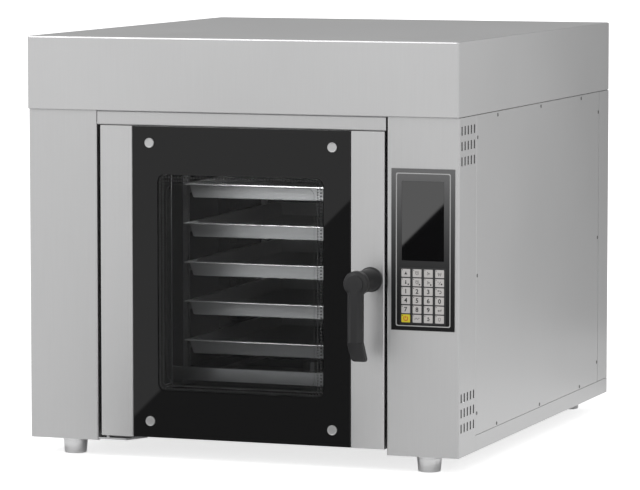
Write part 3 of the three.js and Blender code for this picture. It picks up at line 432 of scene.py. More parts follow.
screw_steel = grained("screw_steel", (0.07, 0.07, 0.07), 1.0, 0.45, even_grain, depth=0.2)
panel_low, panel_high = corners_of("right_side_panel")
cabinet_low = corners_of("base_frame")[0]
screw_radius, screw_rise, socket_radius = 0.0041, 0.0005, 0.0015
screw_steps = 18
edge_inset, top_inset, foot_inset = 0.008, 0.0075, 0.0062
edge_heights = np.array([0.0830, 0.3830, 0.6827]) + cabinet_low[2]
row_depths = np.array([0.1536, 0.4816, 0.8096]) + panel_low[1]
screw_places = [(y, z) for y in (panel_low[1] + edge_inset, panel_high[1] - edge_inset) for z in edge_heights]
screw_places += [(y, z) for z in (panel_high[2] - top_inset, panel_low[2] + foot_inset) for y in row_depths]
screw_profile = [
    (screw_radius, -screw_rise), (screw_radius, 0.4 * screw_rise), (0.8 * screw_radius, screw_rise),
    (0.55 * screw_radius, screw_rise), (socket_radius, 0.2 * screw_rise),
    (0.9 * socket_radius, -0.5 * screw_rise),
]


def screw(axis, side, centre):
    """A low domed head with a round socket, which stands out along one axis, to that side."""
    points, faces = lathe(screw_profile, axis, (0, 0, 0), screw_steps)
    points[:, axis] *= side
    if side < 0:
        faces = [face[::-1] for face in faces]
    return points + np.asarray(centre), faces


for word, side in (("left", -1), ("right", 1)):
    heads = [screw(0, side, (side * panel_high[0], y, z)) for y, z in screw_places]
    make_piece(word + "_side_screws", heads, [screw_steel], "cabinet")

# ---------------------------------------------------------------- vent screens
# Behind each group of fifteen vents in the right-hand return lies a thin black sheet, flat against the
# return from inside: painted shade, which darkens the vents' openings.
# Painted shade: a black sheet behind the vents darkens them.
vent_shade_black = grained("vent_shade_black", (0.012, 0.012, 0.012), 0.0, 0.7, even(1200.0), depth=0.5, bump=0.3)
shade_sheet_front, shade_sheet_back = cabinet_low[1] + 0.004, panel_low[1] - 0.006
shade_sheet_face, shade_sheet_thickness = panel_high[0] - 0.0026, 0.0006
low_shade_sheet = cabinet_low[2] + 0.046, cabinet_low[2] + 0.146
high_shade_sheet = panel_high[2] - 0.110, panel_high[2] - 0.012
shade_sheets = [skin([[(x, shade_sheet_front, foot), (x, shade_sheet_back, foot), (x, shade_sheet_back, head),
                  (x, shade_sheet_front, head)] for x in (shade_sheet_face - shade_sheet_thickness, shade_sheet_face)])
           for foot, head in (low_shade_sheet, high_shade_sheet)]
make_piece("vent_shade_sheets", shade_sheets, [vent_shade_black], "cabinet")

# ---------------------------------------------------------------- back screws and gland
# The back panel is held by a row of the same screws down each edge. The gland for the supply lead is moulded
# in black plastic and goes through the panel.
back_low, back_high = corners_of("back_panel")
back_inset_x, back_inset_z, back_rows = 0.024, 0.04, 4
back_heads = [screw(1, 1, (x, back_high[1], z))
              for x in (back_low[0] + back_inset_x, back_high[0] - back_inset_x)
              for z in np.linspace(back_low[2] + back_inset_z, back_high[2] - back_inset_z, back_rows)]
make_piece("back_screws", back_heads, [screw_steel], "cabinet")
moulded_black = grained("moulded_black", (0.025, 0.025, 0.026), 0.0, 0.5, even(900.0), depth=0.2, bump=0.1)
paint_cad(moulded_black, "cable_gland")

# ---------------------------------------------------------------- feet
# Four turned feet of polished stainless steel, wide at the collar and tapered to the floor, screwed up into
# the base. Each has a rolled lip at its collar and a rounded edge where it stands.
polished_steel = grained("polished_steel", (0.9, 0.9, 0.905), 1.0, 0.14, (120.0, 120.0, 1200.0), spread=0.05)
collar_radius, waist_radius, sole_radius, stud_radius = 0.028, 0.0262, 0.0245, 0.006
collar = cabinet_low[2] - 0.0003
foot_steps = 64
for name in ("front_left_foot", "front_right_foot", "rear_left_foot", "rear_right_foot"):
    low, high = corners_of(name)
    middle = (low + high) / 2
    profile = [
        (sole_radius - 0.002, 0.0), (sole_radius - 0.0006, 0.0005), (sole_radius, 0.002),
        (waist_radius, 0.022), (waist_radius + 0.0006, collar - 0.0085),
        (collar_radius - 0.0003, collar - 0.0075), (collar_radius, collar - 0.0062),
        (collar_radius, collar - 0.0012), (collar_radius - 0.0008, collar), (stud_radius, collar),
        (stud_radius, high[2]),
    ]
    turned = lathe(profile, 2, (middle[0], middle[1], 0.0), foot_steps)
    make_piece(name + "_turned", [turned], [polished_steel], "cabinet", replaces=[name])

# ---------------------------------------------------------------- hinges and latch
# Machined stainless parts: a bracket above and below the door, their pins, and the latch with its keeper. The
# rack's drive shaft and the pivot in the chamber's floor are turned from the same steel.
machined_steel = grained("machined_steel", (0.55, 0.55, 0.56), 1.0, 0.26, (300.0, 900.0, 300.0))
paint_cad(machined_steel, "lower_hinge_bracket", "upper_hinge_bracket", "upper_hinge_pin", "latch_keeper",
          "latch_spindle", "latch_tongue", "floor_pivot", "drive_shaft")

# ---------------------------------------------------------------- door glass
# A toughened pane, 5 mm thick, black from behind except for the window. Its edges are ground, and it has a
# hole for the stem of each cap. The pane inside the door is clear.
glass_waves = even(3.0)
black_glass = grained("black_glass", (0.0042, 0.0042, 0.0044), 0.0, 0.012, glass_waves, depth=0.1,
                      spread=0.008, bump=0.0, IOR=1.5)
window_glass = grained("window_glass", (0.66, 0.665, 0.67), 0.0, 0.006, glass_waves, depth=0.02, cloud=0.02,
                       spread=0.006, bump=0.0, IOR=1.22, Transmission_Weight=1.0)
inner_clear = grained("inner_clear", (0.95, 0.955, 0.955), 0.0, 0.006, glass_waves, depth=0.02, cloud=0.02,
                      spread=0.006, bump=0.0, IOR=1.08, Transmission_Weight=1.0)
paint_cad(inner_clear, "inner_glass")
pane_low, pane_high = corners_of("outer_glass")
pane_corner, ground_edge, window_corner = 0.0015, 0.0008, 0.016
window_insets = 0.0588, 0.0615, 0.1045, 0.105  # left, right, foot, head
stem_hole, cutter_reach = 0.0043, 0.02
cap_names = ["glass_cap_" + number for number in "1234"]
cap_middles = [sum(corners_of(name)) / 2 for name in cap_names]


def drawn_in(low, high, left=0.0, right=0.0, foot=0.0, head=0.0):
    """A box's front drawn in at its four edges, as (middle x, middle z, half width, half height)."""
    return ((low[0] + left + high[0] - right) / 2, (low[2] + foot + high[2] - head) / 2,
            (high[0] - low[0] - left - right) / 2, (high[2] - low[2] - foot - head) / 2)


def rounded_outline(half_x, half_z, radius, steps=8):
    """Points round a rectangle with quarter-circle corners, centred on zero, as (x, z)."""
    turn = np.linspace(0, math.pi / 2, steps + 1)
    corner = np.arange(4)[:, None] * math.pi / 2 + turn[None, :]
    sign_x = np.array([1, -1, -1, 1])[:, None]
    sign_z = np.array([1, 1, -1, -1])[:, None]
    x = sign_x * (half_x - radius) + radius * np.cos(corner)
    z = sign_z * (half_z - radius) + radius * np.sin(corner)
    return np.stack([x.ravel(), z.ravel()], axis=1)


def at_depth(outline, x, y, z):
    """An (x, z) outline stood up at that depth, round that centre."""
    return np.stack([outline[:, 0] + x, np.full(len(outline), y), outline[:, 1] + z], axis=1)


def cut_away(piece, cutters):
    """The piece less some other objects, which are then gone."""
    for cutter in cutters:
        taken = piece.modifiers.new("cut", "BOOLEAN")
        taken.operation = "DIFFERENCE"
        taken.solver = "EXACT"
        taken.object = cutter
    settle(piece)
    for cutter in cutters:
        bpy.data.objects.remove(cutter)


def settle(piece):
    """Turns what the modifiers make into the piece's own mesh."""
    graph = bpy.context.evaluated_depsgraph_get()
    graph.update()
    made = bpy.data.meshes.new_from_object(piece.evaluated_get(graph))
    piece.modifiers.clear()
    piece.data = made


def plain_object(name, part):
    """A bare object from one part, for cutting and joining."""
    mesh = bpy.data.meshes.new(name)
    mesh.from_pydata(part[0].tolist(), [], part[1])
    thing = bpy.data.objects.new(name, mesh)
    scene.collection.objects.link(thing)
    return thing


pane_x, pane_z, pane_half_x, pane_half_z = drawn_in(pane_low, pane_high)
window_x, window_z, window_half_x, window_half_z = drawn_in(pane_low, pane_high, *window_insets)
rim = rounded_outline(pane_half_x, pane_half_z, pane_corner)
inner_rim = rounded_outline(pane_half_x - ground_edge, pane_half_z - ground_edge, pane_corner)
opening = rounded_outline(window_half_x, window_half_z, window_corner)
pane_rings = [
    at_depth(opening, window_x, pane_low[1], window_z), at_depth(inner_rim, pane_x, pane_low[1], pane_z),
    at_depth(rim, pane_x, pane_low[1] + ground_edge, pane_z),
    at_depth(rim, pane_x, pane_high[1] - ground_edge, pane_z),
    at_depth(inner_rim, pane_x, pane_high[1], pane_z), at_depth(opening, window_x, pane_high[1], window_z),
]
pane_part = skin(pane_rings)
pane_regions = [0] * (len(pane_part[1]) - 2) + [1, 1]  # the two end faces are the window
pane = make_piece("door_glass", [pane_part], [black_glass, window_glass], "door", 20, ["outer_glass"],
                  pane_regions)
stem = [(stem_hole, -cutter_reach), (stem_hole, cutter_reach)]
cut_away(pane, [plain_object("stem_cutter", lathe(stem, 1, (middle[0], pane_low[1], middle[2]), 32))
                for middle in cap_middles])

# ---------------------------------------------------------------- dots and line of the glass
# Two rows of dots and a fine line of ceramic ink, fired on to the pane's face. They run round the window,
# inside the edge of the black.
ink_black = grained("fired_ink", (0.016, 0.016, 0.016), 0.0, 0.4, even(2000.0), depth=0.3)
ink_front, ink_back = pane_low[1] - 0.00012, pane_low[1] - 0.00003
dot_sides, tightest_corner = 6, 0.004
dot_rows = ((0.0058, 0.0023, 0.0073), (0.0135, 0.0019, 0.006))  # inset, radius and pitch of each row
fine_line_inset, fine_line_width = 0.0216, 0.0006


def dots_round(inset, radius, pitch):
    """Flat six-sided dots evenly spaced on the window's outline, drawn in by inset."""
    corner = max(window_corner - inset, tightest_corner)
    outline = rounded_outline(window_half_x - inset, window_half_z - inset, corner)
    closed = np.vstack([outline, outline[:1]])
    reach = np.concatenate([[0], np.cumsum(np.linalg.norm(np.diff(closed, axis=0), axis=1))])
    stops = np.linspace(0, reach[-1], int(reach[-1] / pitch), endpoint=False)
    x = np.interp(stops, reach, closed[:, 0]) + window_x
    z = np.interp(stops, reach, closed[:, 1]) + window_z
    angle = np.arange(dot_sides) * 2 * math.pi / dot_sides
    ring_x = x[:, None] + radius * np.cos(angle)
    ring_z = z[:, None] + radius * np.sin(angle)
    back, front = (np.stack([ring_x, np.full_like(ring_x, y), ring_z], axis=-1)
                   for y in (ink_back, ink_front))
    return [skin(pair) for pair in zip(back, front)]


make_piece("glass_dots", [dot for row in dot_rows for dot in dots_round(*row)], [ink_black], "door")
outer, inner = (rounded_outline(window_half_x - inset, window_half_z - inset, window_corner)
                for inset in (fine_line_inset, fine_line_inset + fine_line_width))
fine_line = [at_depth(outline, window_x, y, window_z) for outline, y in (
    (outer, ink_front), (inner, ink_front), (inner, ink_back), (outer, ink_back))]
make_piece("glass_line", [skin(fine_line, loop=True)], [ink_black], "door")

# ---------------------------------------------------------------- window trim
# A matt black sleeve lines the door frame's opening between the two panes, as painted shade in the
# reveal. Its flange is held between the outer pane and the frame.
# Painted shade: the sleeve's black darkens the window's reveal.
reveal_shade_black = grained("reveal_shade_black", (0.02, 0.02, 0.02), 0.0, 0.9, even_grain, depth=0.2, bump=0.05,
                     Specular_IOR_Level=0.1)
inner_low, inner_high = corners_of("inner_glass")
glass_lap, opening_corner, flange_reach = 0.014, 0.010, 0.018
trim_x, trim_z, trim_half_x, trim_half_z = drawn_in(inner_low, inner_high, *(glass_lap,) * 4)
flange_front, flange_back = pane_high[1] + 0.00014, pane_high[1] + 0.00026
sleeve_back = inner_low[1] - 0.0001
sleeve_face, sleeve_outside = -0.0003, -0.0001
trim_section = [(flange_reach, flange_front), (sleeve_face, flange_front), (sleeve_face, sleeve_back),
                (sleeve_outside, sleeve_back), (sleeve_outside, flange_back), (flange_reach, flange_back)]
trim_rings = [at_depth(rounded_outline(trim_half_x + out, trim_half_z + out, opening_corner + out),
                       trim_x, y, trim_z) for out, y in trim_section]
make_piece("reveal_shade_sleeve", [skin(trim_rings, loop=True)], [reveal_shade_black], "door")

# ---------------------------------------------------------------- glass caps
# Four turned steel caps clamp the pane to the door. Each is a flat disc with a raised rim, on a stem that
# goes through a hole of the pane and screws into the door.
cap_steel = grained("cap_steel", (0.6, 0.6, 0.6), 1.0, 0.3, even_grain)
stem_radius = 0.004
for name, middle in zip(cap_names, cap_middles):
    low, high = corners_of(name)
    radius, face, seat = (high[0] - low[0]) / 2, low[1], pane_low[1] - 0.0001
    profile = [
        (radius * 0.78, face + 0.0006), (radius * 0.8, face + 0.0004), (radius * 0.83, face + 0.0001),
        (radius * 0.87, face), (radius * 0.93, face + 0.0001), (radius * 0.97, face + 0.0005),
        (radius, face + 0.0013), (radius, seat), (stem_radius, seat), (stem_radius, high[1]),
    ]
    turned = lathe(profile, 1, (middle[0], 0.0, middle[2]))
    make_piece("turned_cap_" + name[-1], [turned], [cap_steel], "door", replaces=[name])

# ---------------------------------------------------------------- door handle
# A moulded black handle: a round hub fixed to the door, and on it a boss with a lever that turns with the
# latch. The lever's face is a flat strip between two bevels, and below its kink the face is one flat.
handle_black = grained("handle_black", (0.020, 0.020, 0.021), 0.0, 0.45, even(1500.0), depth=0.15, bump=0.08,
                       Specular_IOR_Level=0.35)
hub_low, hub_high = corners_of("handle_hub")
axis_x, axis_z = drawn_in(hub_low, hub_high)[:2]
handle_axis, handle_steps = (axis_x, 0.0, axis_z), 72
hub_front, hub_back = hub_low[1], hub_high[1]
hub_hole, hub_radius, flange_radius = 0.0063, 0.024, 0.027
hub_profile = [
    (hub_hole, hub_back), (flange_radius, hub_back), (flange_radius, hub_back - 0.0032),
    (flange_radius - 0.0008, hub_back - 0.0042), (hub_radius + 0.0006, hub_back - 0.0056),
    (hub_radius, hub_back - 0.007), (hub_radius, hub_front + 0.0012), (hub_radius - 0.0008, hub_front),
    (hub_hole, hub_front),
]
round_hub = lathe(hub_profile, 1, handle_axis, handle_steps)
make_piece("round_hub", [round_hub], [handle_black], "door", 35, ["handle_hub"])
lever_face = corners_of("handle_lever")[0][1]
disc_radius, disc_rise, boss_radius, boss_depth = 0.019, 0.005, 0.027, 0.028
shoulder, boss_back = lever_face + disc_rise, lever_face + boss_depth
boss_profile = [
    (disc_radius - 0.0006, lever_face), (disc_radius, lever_face + 0.0006), (disc_radius, shoulder),
    (boss_radius - 0.003, shoulder + 0.001), (boss_radius - 0.0006, shoulder + 0.0034),
    (boss_radius, shoulder + 0.0045), (boss_radius, boss_back - 0.003), (boss_radius - 0.003, boss_back),
]
lever_half, lever_depth, lever_length = 0.017, 0.024, 0.170
kink, kink_return = 0.126, 0.030
strip_half, strip_bevel, end_half, end_bevel = 0.0073, 0.008, 0.0152, 0.003
back_chamfer_x, back_chamfer_y = 0.005, 0.007
edge_softening, soften_from, sharp_from = 0.0007, math.radians(28), math.radians(38)


def lever_section(drop, back, flat_half, bevel, shrink):
    """Eight corners of the lever at a drop below the axis: flat, two bevels, two sides, chamfered back."""
    side, flat = lever_half - shrink, flat_half - shrink
    y, deep = lever_face + back + shrink, lever_face + back + lever_depth - shrink
    half = [(flat, y), (side, y + bevel), (side, deep - back_chamfer_y), (side - back_chamfer_x, deep)]
    corners = [(-half[0][0], y), *half, *((-dx, dy) for dx, dy in half[:0:-1])]
    return [(axis_x + dx, dy, axis_z - drop) for dx, dy in corners]


lever_part = skin([lever_section(*station) for station in (
    (0.0, 0.0, strip_half, strip_bevel, 0.0), (kink, 0.0, strip_half, strip_bevel, 0.0),
    (kink + 0.0008, 0.0012, end_half + 0.0003, end_bevel, 0.0),
    (lever_length - 0.006, kink_return * 0.86, end_half, end_bevel, 0.0006),
    (lever_length - 0.0025, kink_return * 0.95, end_half, end_bevel, 0.0018),
    (lever_length - 0.0004, kink_return, end_half, end_bevel, 0.0038),
)])
lever = make_piece("turning_lever", [lever_part], [handle_black], "handle", 30, ["handle_lever"])
boss_object = plain_object("boss", lathe(boss_profile, 1, handle_axis, handle_steps))
welded = lever.modifiers.new("boss", "BOOLEAN")
welded.operation = "UNION"
welded.solver = "EXACT"
welded.object = boss_object
soft_edges = lever.modifiers.new("soft_edges", "BEVEL")
soft_edges.width = edge_softening
soft_edges.segments = 2
soft_edges.limit_method = "ANGLE"
soft_edges.angle_limit = soften_from
settle(lever)
bpy.data.objects.remove(boss_object)
lever.data.polygons.foreach_set("use_smooth", np.ones(len(lever.data.polygons), dtype=bool))
lever.data.set_sharp_from_angle(angle=sharp_from)

# ---------------------------------------------------------------- control panel
# A steel plate under a printed foil, with a silver line round its edge. Its colour is a painted reflection,
# near black at its foot and paler towards its head. The display is a smoked window set flush into it.
foil = grained("panel_foil", (1.0, 1.0, 1.0), 0.0, 0.34, even(1800.0), depth=0.1, bump=0.03,
               Specular_IOR_Level=0.2)
# Painted reflection on the foil: near black at the foot, pale at the head.
reflection_foot, reflection_head, reflection_lateness = (0.004, 0.004, 0.0045, 1.0), (0.155, 0.155, 0.157, 1.0), 2.1
plate_low, plate_high = corners_of("control_panel")


def paint_reflection_upwards(material, low, high, foot, head, lateness):
    """Paints a reflection into the colour, from foot to head with a power of the height, under the grain."""
    tree = material.node_tree
    place = add_node(tree, "ShaderNodeTexCoord").outputs["Object"]
    height = add_node(tree, "ShaderNodeSeparateXYZ", place).outputs["Z"]
    ramp = add_node(tree, "ShaderNodeMapRange", height, **{"From Min": low, "From Max": high})
    late = add_node(tree, "ShaderNodeMath", ramp.outputs[0], lateness, operation="POWER")
    paint = next(node for node in tree.nodes if getattr(node, "blend_type", "") == "MULTIPLY")
    feed(tree, paint.inputs[6], mixed(tree, late.outputs[0], foot, head, "RGBA"))


paint_reflection_upwards(foil, plate_low[2], plate_high[2], reflection_foot, reflection_head, reflection_lateness)
paint_cad(foil, "control_panel")
smoked = grained("smoked_window", (0.002, 0.002, 0.0024), 0.0, 0.014, glass_waves, depth=0.05, spread=0.008,
                 bump=0.0, IOR=2.25)
paint_cad(smoked, "display_window")
silver_ink = grained("silver_line", (0.46, 0.46, 0.46), 0.4, 0.4, even(1500.0))
line_insets = 0.0104, 0.0087, 0.0088, 0.0093  # left, right, foot, head
line_x, line_z, line_half_x, line_half_z = drawn_in(plate_low, plate_high, *line_insets)
line_width, line_corner, line_edge = 0.0021, 0.004, 0.0003
line_back = plate_low[1] + 0.00002
line_front = line_back - 0.00015
line_section = [(0.0, line_back), (line_edge, line_front), (line_width - line_edge, line_front),
                (line_width, line_back)]
line_rings = [at_depth(rounded_outline(line_half_x - inset, line_half_z - inset, line_corner),
                       line_x, y, line_z) for inset, y in line_section]
make_piece("silver_line", [skin(line_rings, loop=True)], [silver_ink], "cabinet")

# ---------------------------------------------------------------- keypad
# A membrane sheet with 24 soft pads in six rows of four: light grey ones with black legends, and one yellow
# pad for on and off. Each is a shallow plate with eased edges and a small black mark at its upper left.
key_columns, key_rows = 4, 6
key_width, key_height = 0.0197, 0.0171
key_pitch_x, key_pitch_z = 0.0254, 0.0196
pad_low, pad_high = corners_of("keypad")
field_x, field_z, field_half_x, field_half_z = drawn_in(pad_low, pad_high)
field_left = field_x - (key_pitch_x * (key_columns - 1) + key_width) / 2
field_foot = field_z - (key_pitch_z * (key_rows - 1) + key_height) / 2
key_front = pad_low[1]
membrane_front = key_front + 0.0006
key_corner, key_edge, membrane_corner, membrane_edge = 0.0012, 0.0003, 0.001, 0.0002
membrane_black = grained("membrane_black", (0.012, 0.012, 0.013), 0.0, 0.4, even(1500.0), depth=0.15)
pad_grey = grained("pad_grey", (0.56, 0.54, 0.53), 0.0, 0.55, even(1500.0), depth=0.05, bump=0.05)
pad_yellow = grained("pad_yellow", (0.72, 0.60, 0.02), 0.0, 0.55, even(1500.0), depth=0.05, bump=0.05)


def slab(half_x, half_z, radius, x, z, front, back, edge):
    """A rounded plate whose front edge is eased over three steps."""
    rings = [at_depth(rounded_outline(half_x, half_z, radius, 4), x, back, z)]
    for turn in np.linspace(0, math.pi / 2, 4):
        inset = edge * (1 - math.cos(turn))
        depth = front + edge * (1 - math.sin(turn))
        outline = rounded_outline(half_x - inset, half_z - inset, radius, 4)
        rings.append(at_depth(outline, x, depth, z))
    return skin(rings)


membrane = slab(field_half_x, field_half_z, membrane_corner, field_x, field_z, membrane_front, pad_high[1],
                membrane_edge)
make_piece("membrane", [membrane], [membrane_black], "cabinet", replaces=["keypad"])
pad_middles = [
    (field_left + key_pitch_x * column + key_width / 2, field_foot + key_pitch_z * row + key_height / 2)
    for row in reversed(range(key_rows)) for column in range(key_columns)
]
pads = [slab(key_width / 2, key_height / 2, key_corner, x, z, key_front, membrane_front + 0.0001, key_edge)
        for x, z in pad_middles]
power_place = key_columns * (key_rows - 1)
make_piece("grey_pads", [pad for i, pad in enumerate(pads) if i != power_place], [pad_grey], "cabinet")
make_piece("yellow_pad", [pads[power_place]], [pad_yellow], "cabinet")

# ---------------------------------------------------------------- legends
# Screen-printed marks: ten digits, plain pictograms for the oven's functions, and the on and off sign. They
# are black ink on the faces of the pads, but for that last sign, which is red.
legend_black = grained("legend_black", (0.01, 0.01, 0.01), 0.0, 0.6, even(1500.0), depth=0.2)
legend_red = grained("legend_red", (0.62, 0.10, 0.02), 0.0, 0.6, even(1500.0), depth=0.1)
print_front, print_back = key_front - 0.00008, key_front + 0.00005
digit_size, digit_weight = 0.0095 / 0.7, 0.0003  # a digit is 0.7 of its size high
weld_gap = 1e-6


def stamp(outline, x, z):
    """A flat printed shape from an (x, z) outline in millimetres round a point."""
    flat = np.asarray(outline, dtype=float) / 1000
    return skin([at_depth(flat, x, print_back, z), at_depth(flat, x, print_front, z)])


def stroke(x0, z0, x1, z1, width):
    """The outline of a straight line of that width."""
    way = np.array([x1 - x0, z1 - z0], dtype=float)
    side = np.array([-way[1], way[0]]) / np.hypot(*way) * width / 2
    first, last = np.array([x0, z0]), np.array([x1, z1])
    return [first - side, last - side, last + side, first + side]


def arc(x, z, radius, start, end, width, steps=14):
    """The outline of part of a ring, between two angles in degrees."""
    angle = np.radians(np.linspace(start, end, steps))
    way = np.stack([np.cos(angle), np.sin(angle)], axis=1)
    centre = np.array([x, z])
    return np.vstack([centre + way * (radius + width / 2), centre + way[::-1] * (radius - width / 2)])


def spot(x, z, radius):
    """The outline of a round spot."""
    angle = np.linspace(0, 2 * math.pi, 12, endpoint=False)
    return np.stack([x + radius * np.cos(angle), z + radius * np.sin(angle)], axis=1)


def printed_digit(text, x, z):
    """A digit of the plain built-in face, cut as a flat solid, with its middle at that point."""
    writing = bpy.data.curves.new("digit", "FONT")
    writing.body = text
    writing.size = digit_size
    writing.extrude = (print_back - print_front) / 2
    writing.offset = digit_weight
    writing.resolution_u = 3
    carrier = bpy.data.objects.new("digit", writing)
    scene.collection.objects.link(carrier)
    bpy.context.view_layer.update()
    flat = bpy.data.meshes.new_from_object(carrier.evaluated_get(bpy.context.evaluated_depsgraph_get()))
    merged = bmesh.new()
    merged.from_mesh(flat)
    bmesh.ops.remove_doubles(merged, verts=merged.verts, dist=weld_gap)
    merged.to_mesh(flat)
    merged.free()
    points = np.empty(len(flat.vertices) * 3)
    flat.vertices.foreach_get("co", points)
    points = points.reshape(-1, 3)
    faces = [list(face.vertices) for face in flat.polygons]
    bpy.data.objects.remove(carrier)
    across, up, out = (points - (points.min(axis=0) + points.max(axis=0)) / 2).T
    return np.stack([across + x, (print_back + print_front) / 2 - out, up + z], axis=1), faces


flame = [[(-3.6, -3.2), (3.6, -3.2), (1.2, 0.4), (0, 3.8), (-1.4, -0.4)]]
clock = [arc(0, 0, 3.2, 0, 180, 0.8), arc(0, 0, 3.2, 180, 360, 0.8), stroke(0, 0, 0, 2.2, 0.7),
         stroke(0, 0, 1.6, 0, 0.7), stroke(-3.6, 3.2, -2.2, 4.2, 0.9), stroke(3.6, 3.2, 2.2, 4.2, 0.9)]
fan_blade = 1.7
fan_sign = [arc(fan_blade * math.cos(math.radians(turn)), fan_blade * math.sin(math.radians(turn)), fan_blade,
                turn, turn + 180, 0.9) for turn in (90, 210, 330)]
rack_sign = [stroke(-3.6, 2.6, -3.0, -1.6, 0.8), stroke(3.6, 2.6, 3.0, -1.6, 0.8),
             stroke(-3.2, -1.6, 3.2, -1.6, 0.8), stroke(-3.4, 0.6, 3.4, 0.6, 0.8),
             spot(-1.9, -3.6, 0.9), spot(1.9, -3.6, 0.9)]
probe = [stroke(0, -1.0, 0, 4.0, 1.8), spot(0, -2.4, 1.9)]
flap = [stroke(-5.0, 2.2, -1.6, 2.2, 0.9), stroke(-1.8, -3.6, 2.4, 3.4, 0.9), spot(4.4, -2.4, 1.8)]
back_arrow = [arc(1.0, 0, 2.8, -90, 90, 1.2), stroke(-2.6, 2.8, 1.0, 2.8, 1.2),
              stroke(-1.2, -2.8, 1.0, -2.8, 1.2), [(-5.0, 2.8), (-2.4, 4.8), (-2.4, 0.8)]]
enter_arrow = [stroke(-1.6, -0.8, 4.2, -0.8, 1.5), stroke(3.6, -0.8, 3.6, 2.6, 1.3),
               [(-4.6, -0.8), (-1.4, 1.4), (-1.4, -3.0)]]
steam = [arc(-4.2 + 2.8 * i, 0, 1.4, start, start + 180, 0.8) for i, start in enumerate((180, 0, 180, 0))]
spray = [spot(0, 2.4, 1.7), stroke(-2.6, -3.2, 2.6, -3.2, 1.6), stroke(0, -3.0, 0, 1.4, 1.1),
         spot(3.0, -0.6, 1.0)]
bulb = [arc(0, 0.8, 2.7, -60, 240, 0.8), stroke(-1.3, -1.4, -1.3, -3.2, 0.7),
        stroke(1.3, -1.4, 1.3, -3.2, 0.7), stroke(-1.4, -3.4, 1.4, -3.4, 0.9)]
power_sign = [arc(0, 0, 4.6, -235, 55, 1.7, 24), stroke(0, 0.4, 0, 5.6, 1.7)]
more = [spot(5.6, -4.6, 1.7)]
corner_mark = spot(-7.6, 6.4, 1.0)
key_rows_printed = (
    (flame, clock, fan_sign, rack_sign),
    (probe + more, clock + more, fan_sign + more, flap),
    ("1", "2", "3", back_arrow),
    ("4", "5", "6", "0"),
    ("7", "8", "9", enter_arrow),
    ((), steam, spray, bulb),
)
printed = []
for sign, (x, z) in zip(sum(key_rows_printed, ()), pad_middles):
    if isinstance(sign, str):
        printed.append(printed_digit(sign, x, z))
    else:
        printed += [stamp(shape, x, z) for shape in sign]
printed += [stamp(corner_mark, x, z) for x, z in pad_middles]
make_piece("key_legends", printed, [legend_black], "cabinet")
power_print = [stamp(shape, *pad_middles[power_place]) for shape in power_sign]
make_piece("power_legend", power_print, [legend_red], "cabinet")

# ---------------------------------------------------------------- chamber
# The cooking chamber is welded from polished stainless sheet, with a pierced baffle at the back. The front
# frame carries a black silicone seal for the door. A lamp under a frosted glass lights it.
# Painted shade: the chamber's polished steel is made near black for its dim inside.
liner_steel = grained("liner_steel", (0.06, 0.06, 0.062), 1.0, 0.3, (300.0, 300.0, 14.0), depth=0.1)
paint_cad(liner_steel, "front_frame", "chamber_left_wall", "chamber_right_wall", "chamber_floor",
          "chamber_roof", "air_baffle", "fan_housing")
silicone = grained("silicone", (0.02, 0.02, 0.021), 0.0, 0.7, even_grain, depth=0.2, bump=0.1)
paint_cad(silicone, "door_seal")
lamp_glass = grained("lamp_glass", (0.9, 0.9, 0.88), 0.0, 0.25, even_grain, depth=0.02,
                     Transmission_Weight=0.8)
paint_cad(lamp_glass, "chamber_lamp")
# A weak strip lamp under the front edge of the roof shines down, so that the trays show through the door.
mouth_y, roof_z = corners_of("chamber_floor")[0][1], corners_of("chamber_roof")[0][2]
area_lamp("chamber_glow", (0.06, mouth_y + 0.008, roof_z - 0.02), (0.06, mouth_y + 0.03, 0.2), 0.4, 0.05, 1.2)

# ---------------------------------------------------------------- rack
# The turning rack, of stainless bar and sheet: a base with two foot bars, two side frames of square bar with
# angle slides, and a top tie. The shaft through the tie turns it, and the floor pivot guides its base.
rack_steel = grained("rack_steel", (0.56, 0.56, 0.565), 1.0, 0.36, (200.0, 200.0, 60.0), depth=0.1)
paint_cad(rack_steel, "rack_base", "rack_left_frame", "rack_right_frame", "rack_top_tie")

# ---------------------------------------------------------------- baking trays
# Five pressed steel trays with sloping walls, rounded corners and a rim rolled over at the edge. Each hangs
# by its rim on two of the rack's slides.
# Painted light: the trays' steel is made much lighter than the other steel, to brighten them through the
# door.
tray_steel_painted_light = grained("tray_steel_painted_light", (0.92, 0.92, 0.92), 0.85, 0.38, (40.0, 500.0, 40.0), depth=0.06)
rim_width, rim_roll, wall_thickness, wall_flare = 0.009, 0.0015, 0.0015, 0.007
tray_corner, tightest_bend = 0.005, 0.0035


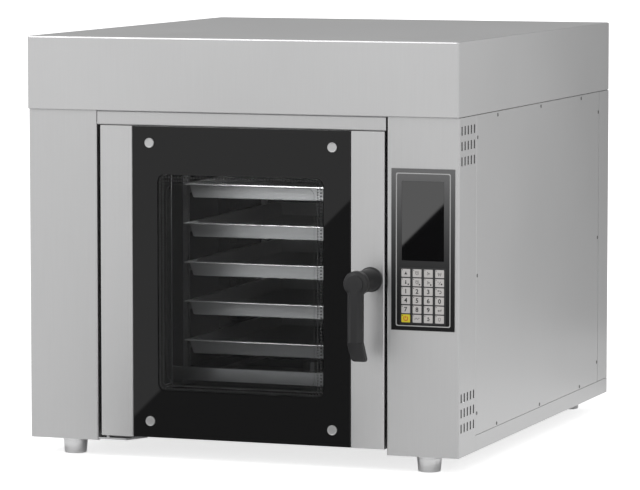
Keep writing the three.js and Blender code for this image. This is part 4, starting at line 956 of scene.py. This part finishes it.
def tray_part(low, high):
    """Rounded rectangles carried along the tray's section: outer floor and wall, rolled rim, inner wall and
    floor. Both ends are flat faces, the floor's two sides."""
    middle, half = (low + high) / 2, (high - low) / 2
    top, foot = high[2], low[2]
    wall_foot = rim_width + wall_flare
    section = [
        (wall_foot + 0.004, foot), (wall_foot + 0.001, foot + 0.0003),
        (wall_foot - 0.0006, foot + 0.0018), (rim_width + 0.0006, top - 0.004),
        (rim_width - 0.0004, top - 0.0022), (rim_width - 0.002, top - wall_thickness),
        (2.2 * rim_roll, top - wall_thickness), (1.9 * rim_roll, top - 2 * rim_roll + 0.0003),
        (1.0 * rim_roll, top - 2 * rim_roll), (0.3 * rim_roll, top - 1.7 * rim_roll), (0.0, top - rim_roll),
        (0.3 * rim_roll, top - 0.3 * rim_roll), (rim_roll, top), (rim_width, top),
        (rim_width + 0.0012, top - 0.0006), (rim_width + 0.0022, top - 0.0026),
        (wall_foot + 0.0004, foot + 0.0042), (wall_foot + 0.0022, foot + 0.0020),
        (wall_foot + 0.005, foot + wall_thickness),
    ]
    rings = []
    for inset, z in section:
        corner = max(tray_corner - 0.1 * inset, tightest_bend)
        x, y = rounded_outline(half[0] - inset, half[1] - inset, corner, 6).T
        rings.append(np.stack([x + middle[0], y + middle[1], np.full(len(x), z)], axis=1))
    return skin(rings)


for name in sorted(name for name in cad if name.startswith("tray_")):
    make_piece("pressed_" + name, [tray_part(*corners_of(name))], [tray_steel_painted_light], "baking_" + name, 32, [name])

# ---------------------------------------------------------------- fan, heater and drives
# Behind the baffle a welded radial fan turns inside a tubular heater, and its motor is on the back of the
# housing. The rack's gearmotor stands on the roof deck, and a jacket of mineral wool wraps the chamber.
fan_steel = grained("fan_steel", (0.42, 0.42, 0.42), 1.0, 0.42, even_grain, depth=0.12)
paint_cad(fan_steel, "fan_wheel")
heater_skin = grained("heater_skin", (0.16, 0.13, 0.11), 0.7, 0.5, even_grain, depth=0.3, cloud=0.3)
paint_cad(heater_skin, "heater_ring")
motor_paint = grained("motor_paint", (0.075, 0.085, 0.095), 0.1, 0.5, even_grain, depth=0.15, bump=0.1)
paint_cad(motor_paint, "fan_motor", "rack_gearmotor")
mineral_wool = grained("mineral_wool", (0.48, 0.40, 0.24), 0.0, 0.95, (120.0, 60.0, 120.0), depth=0.5,
                       bump=0.8)
paint_cad(mineral_wool, "insulation_jacket")
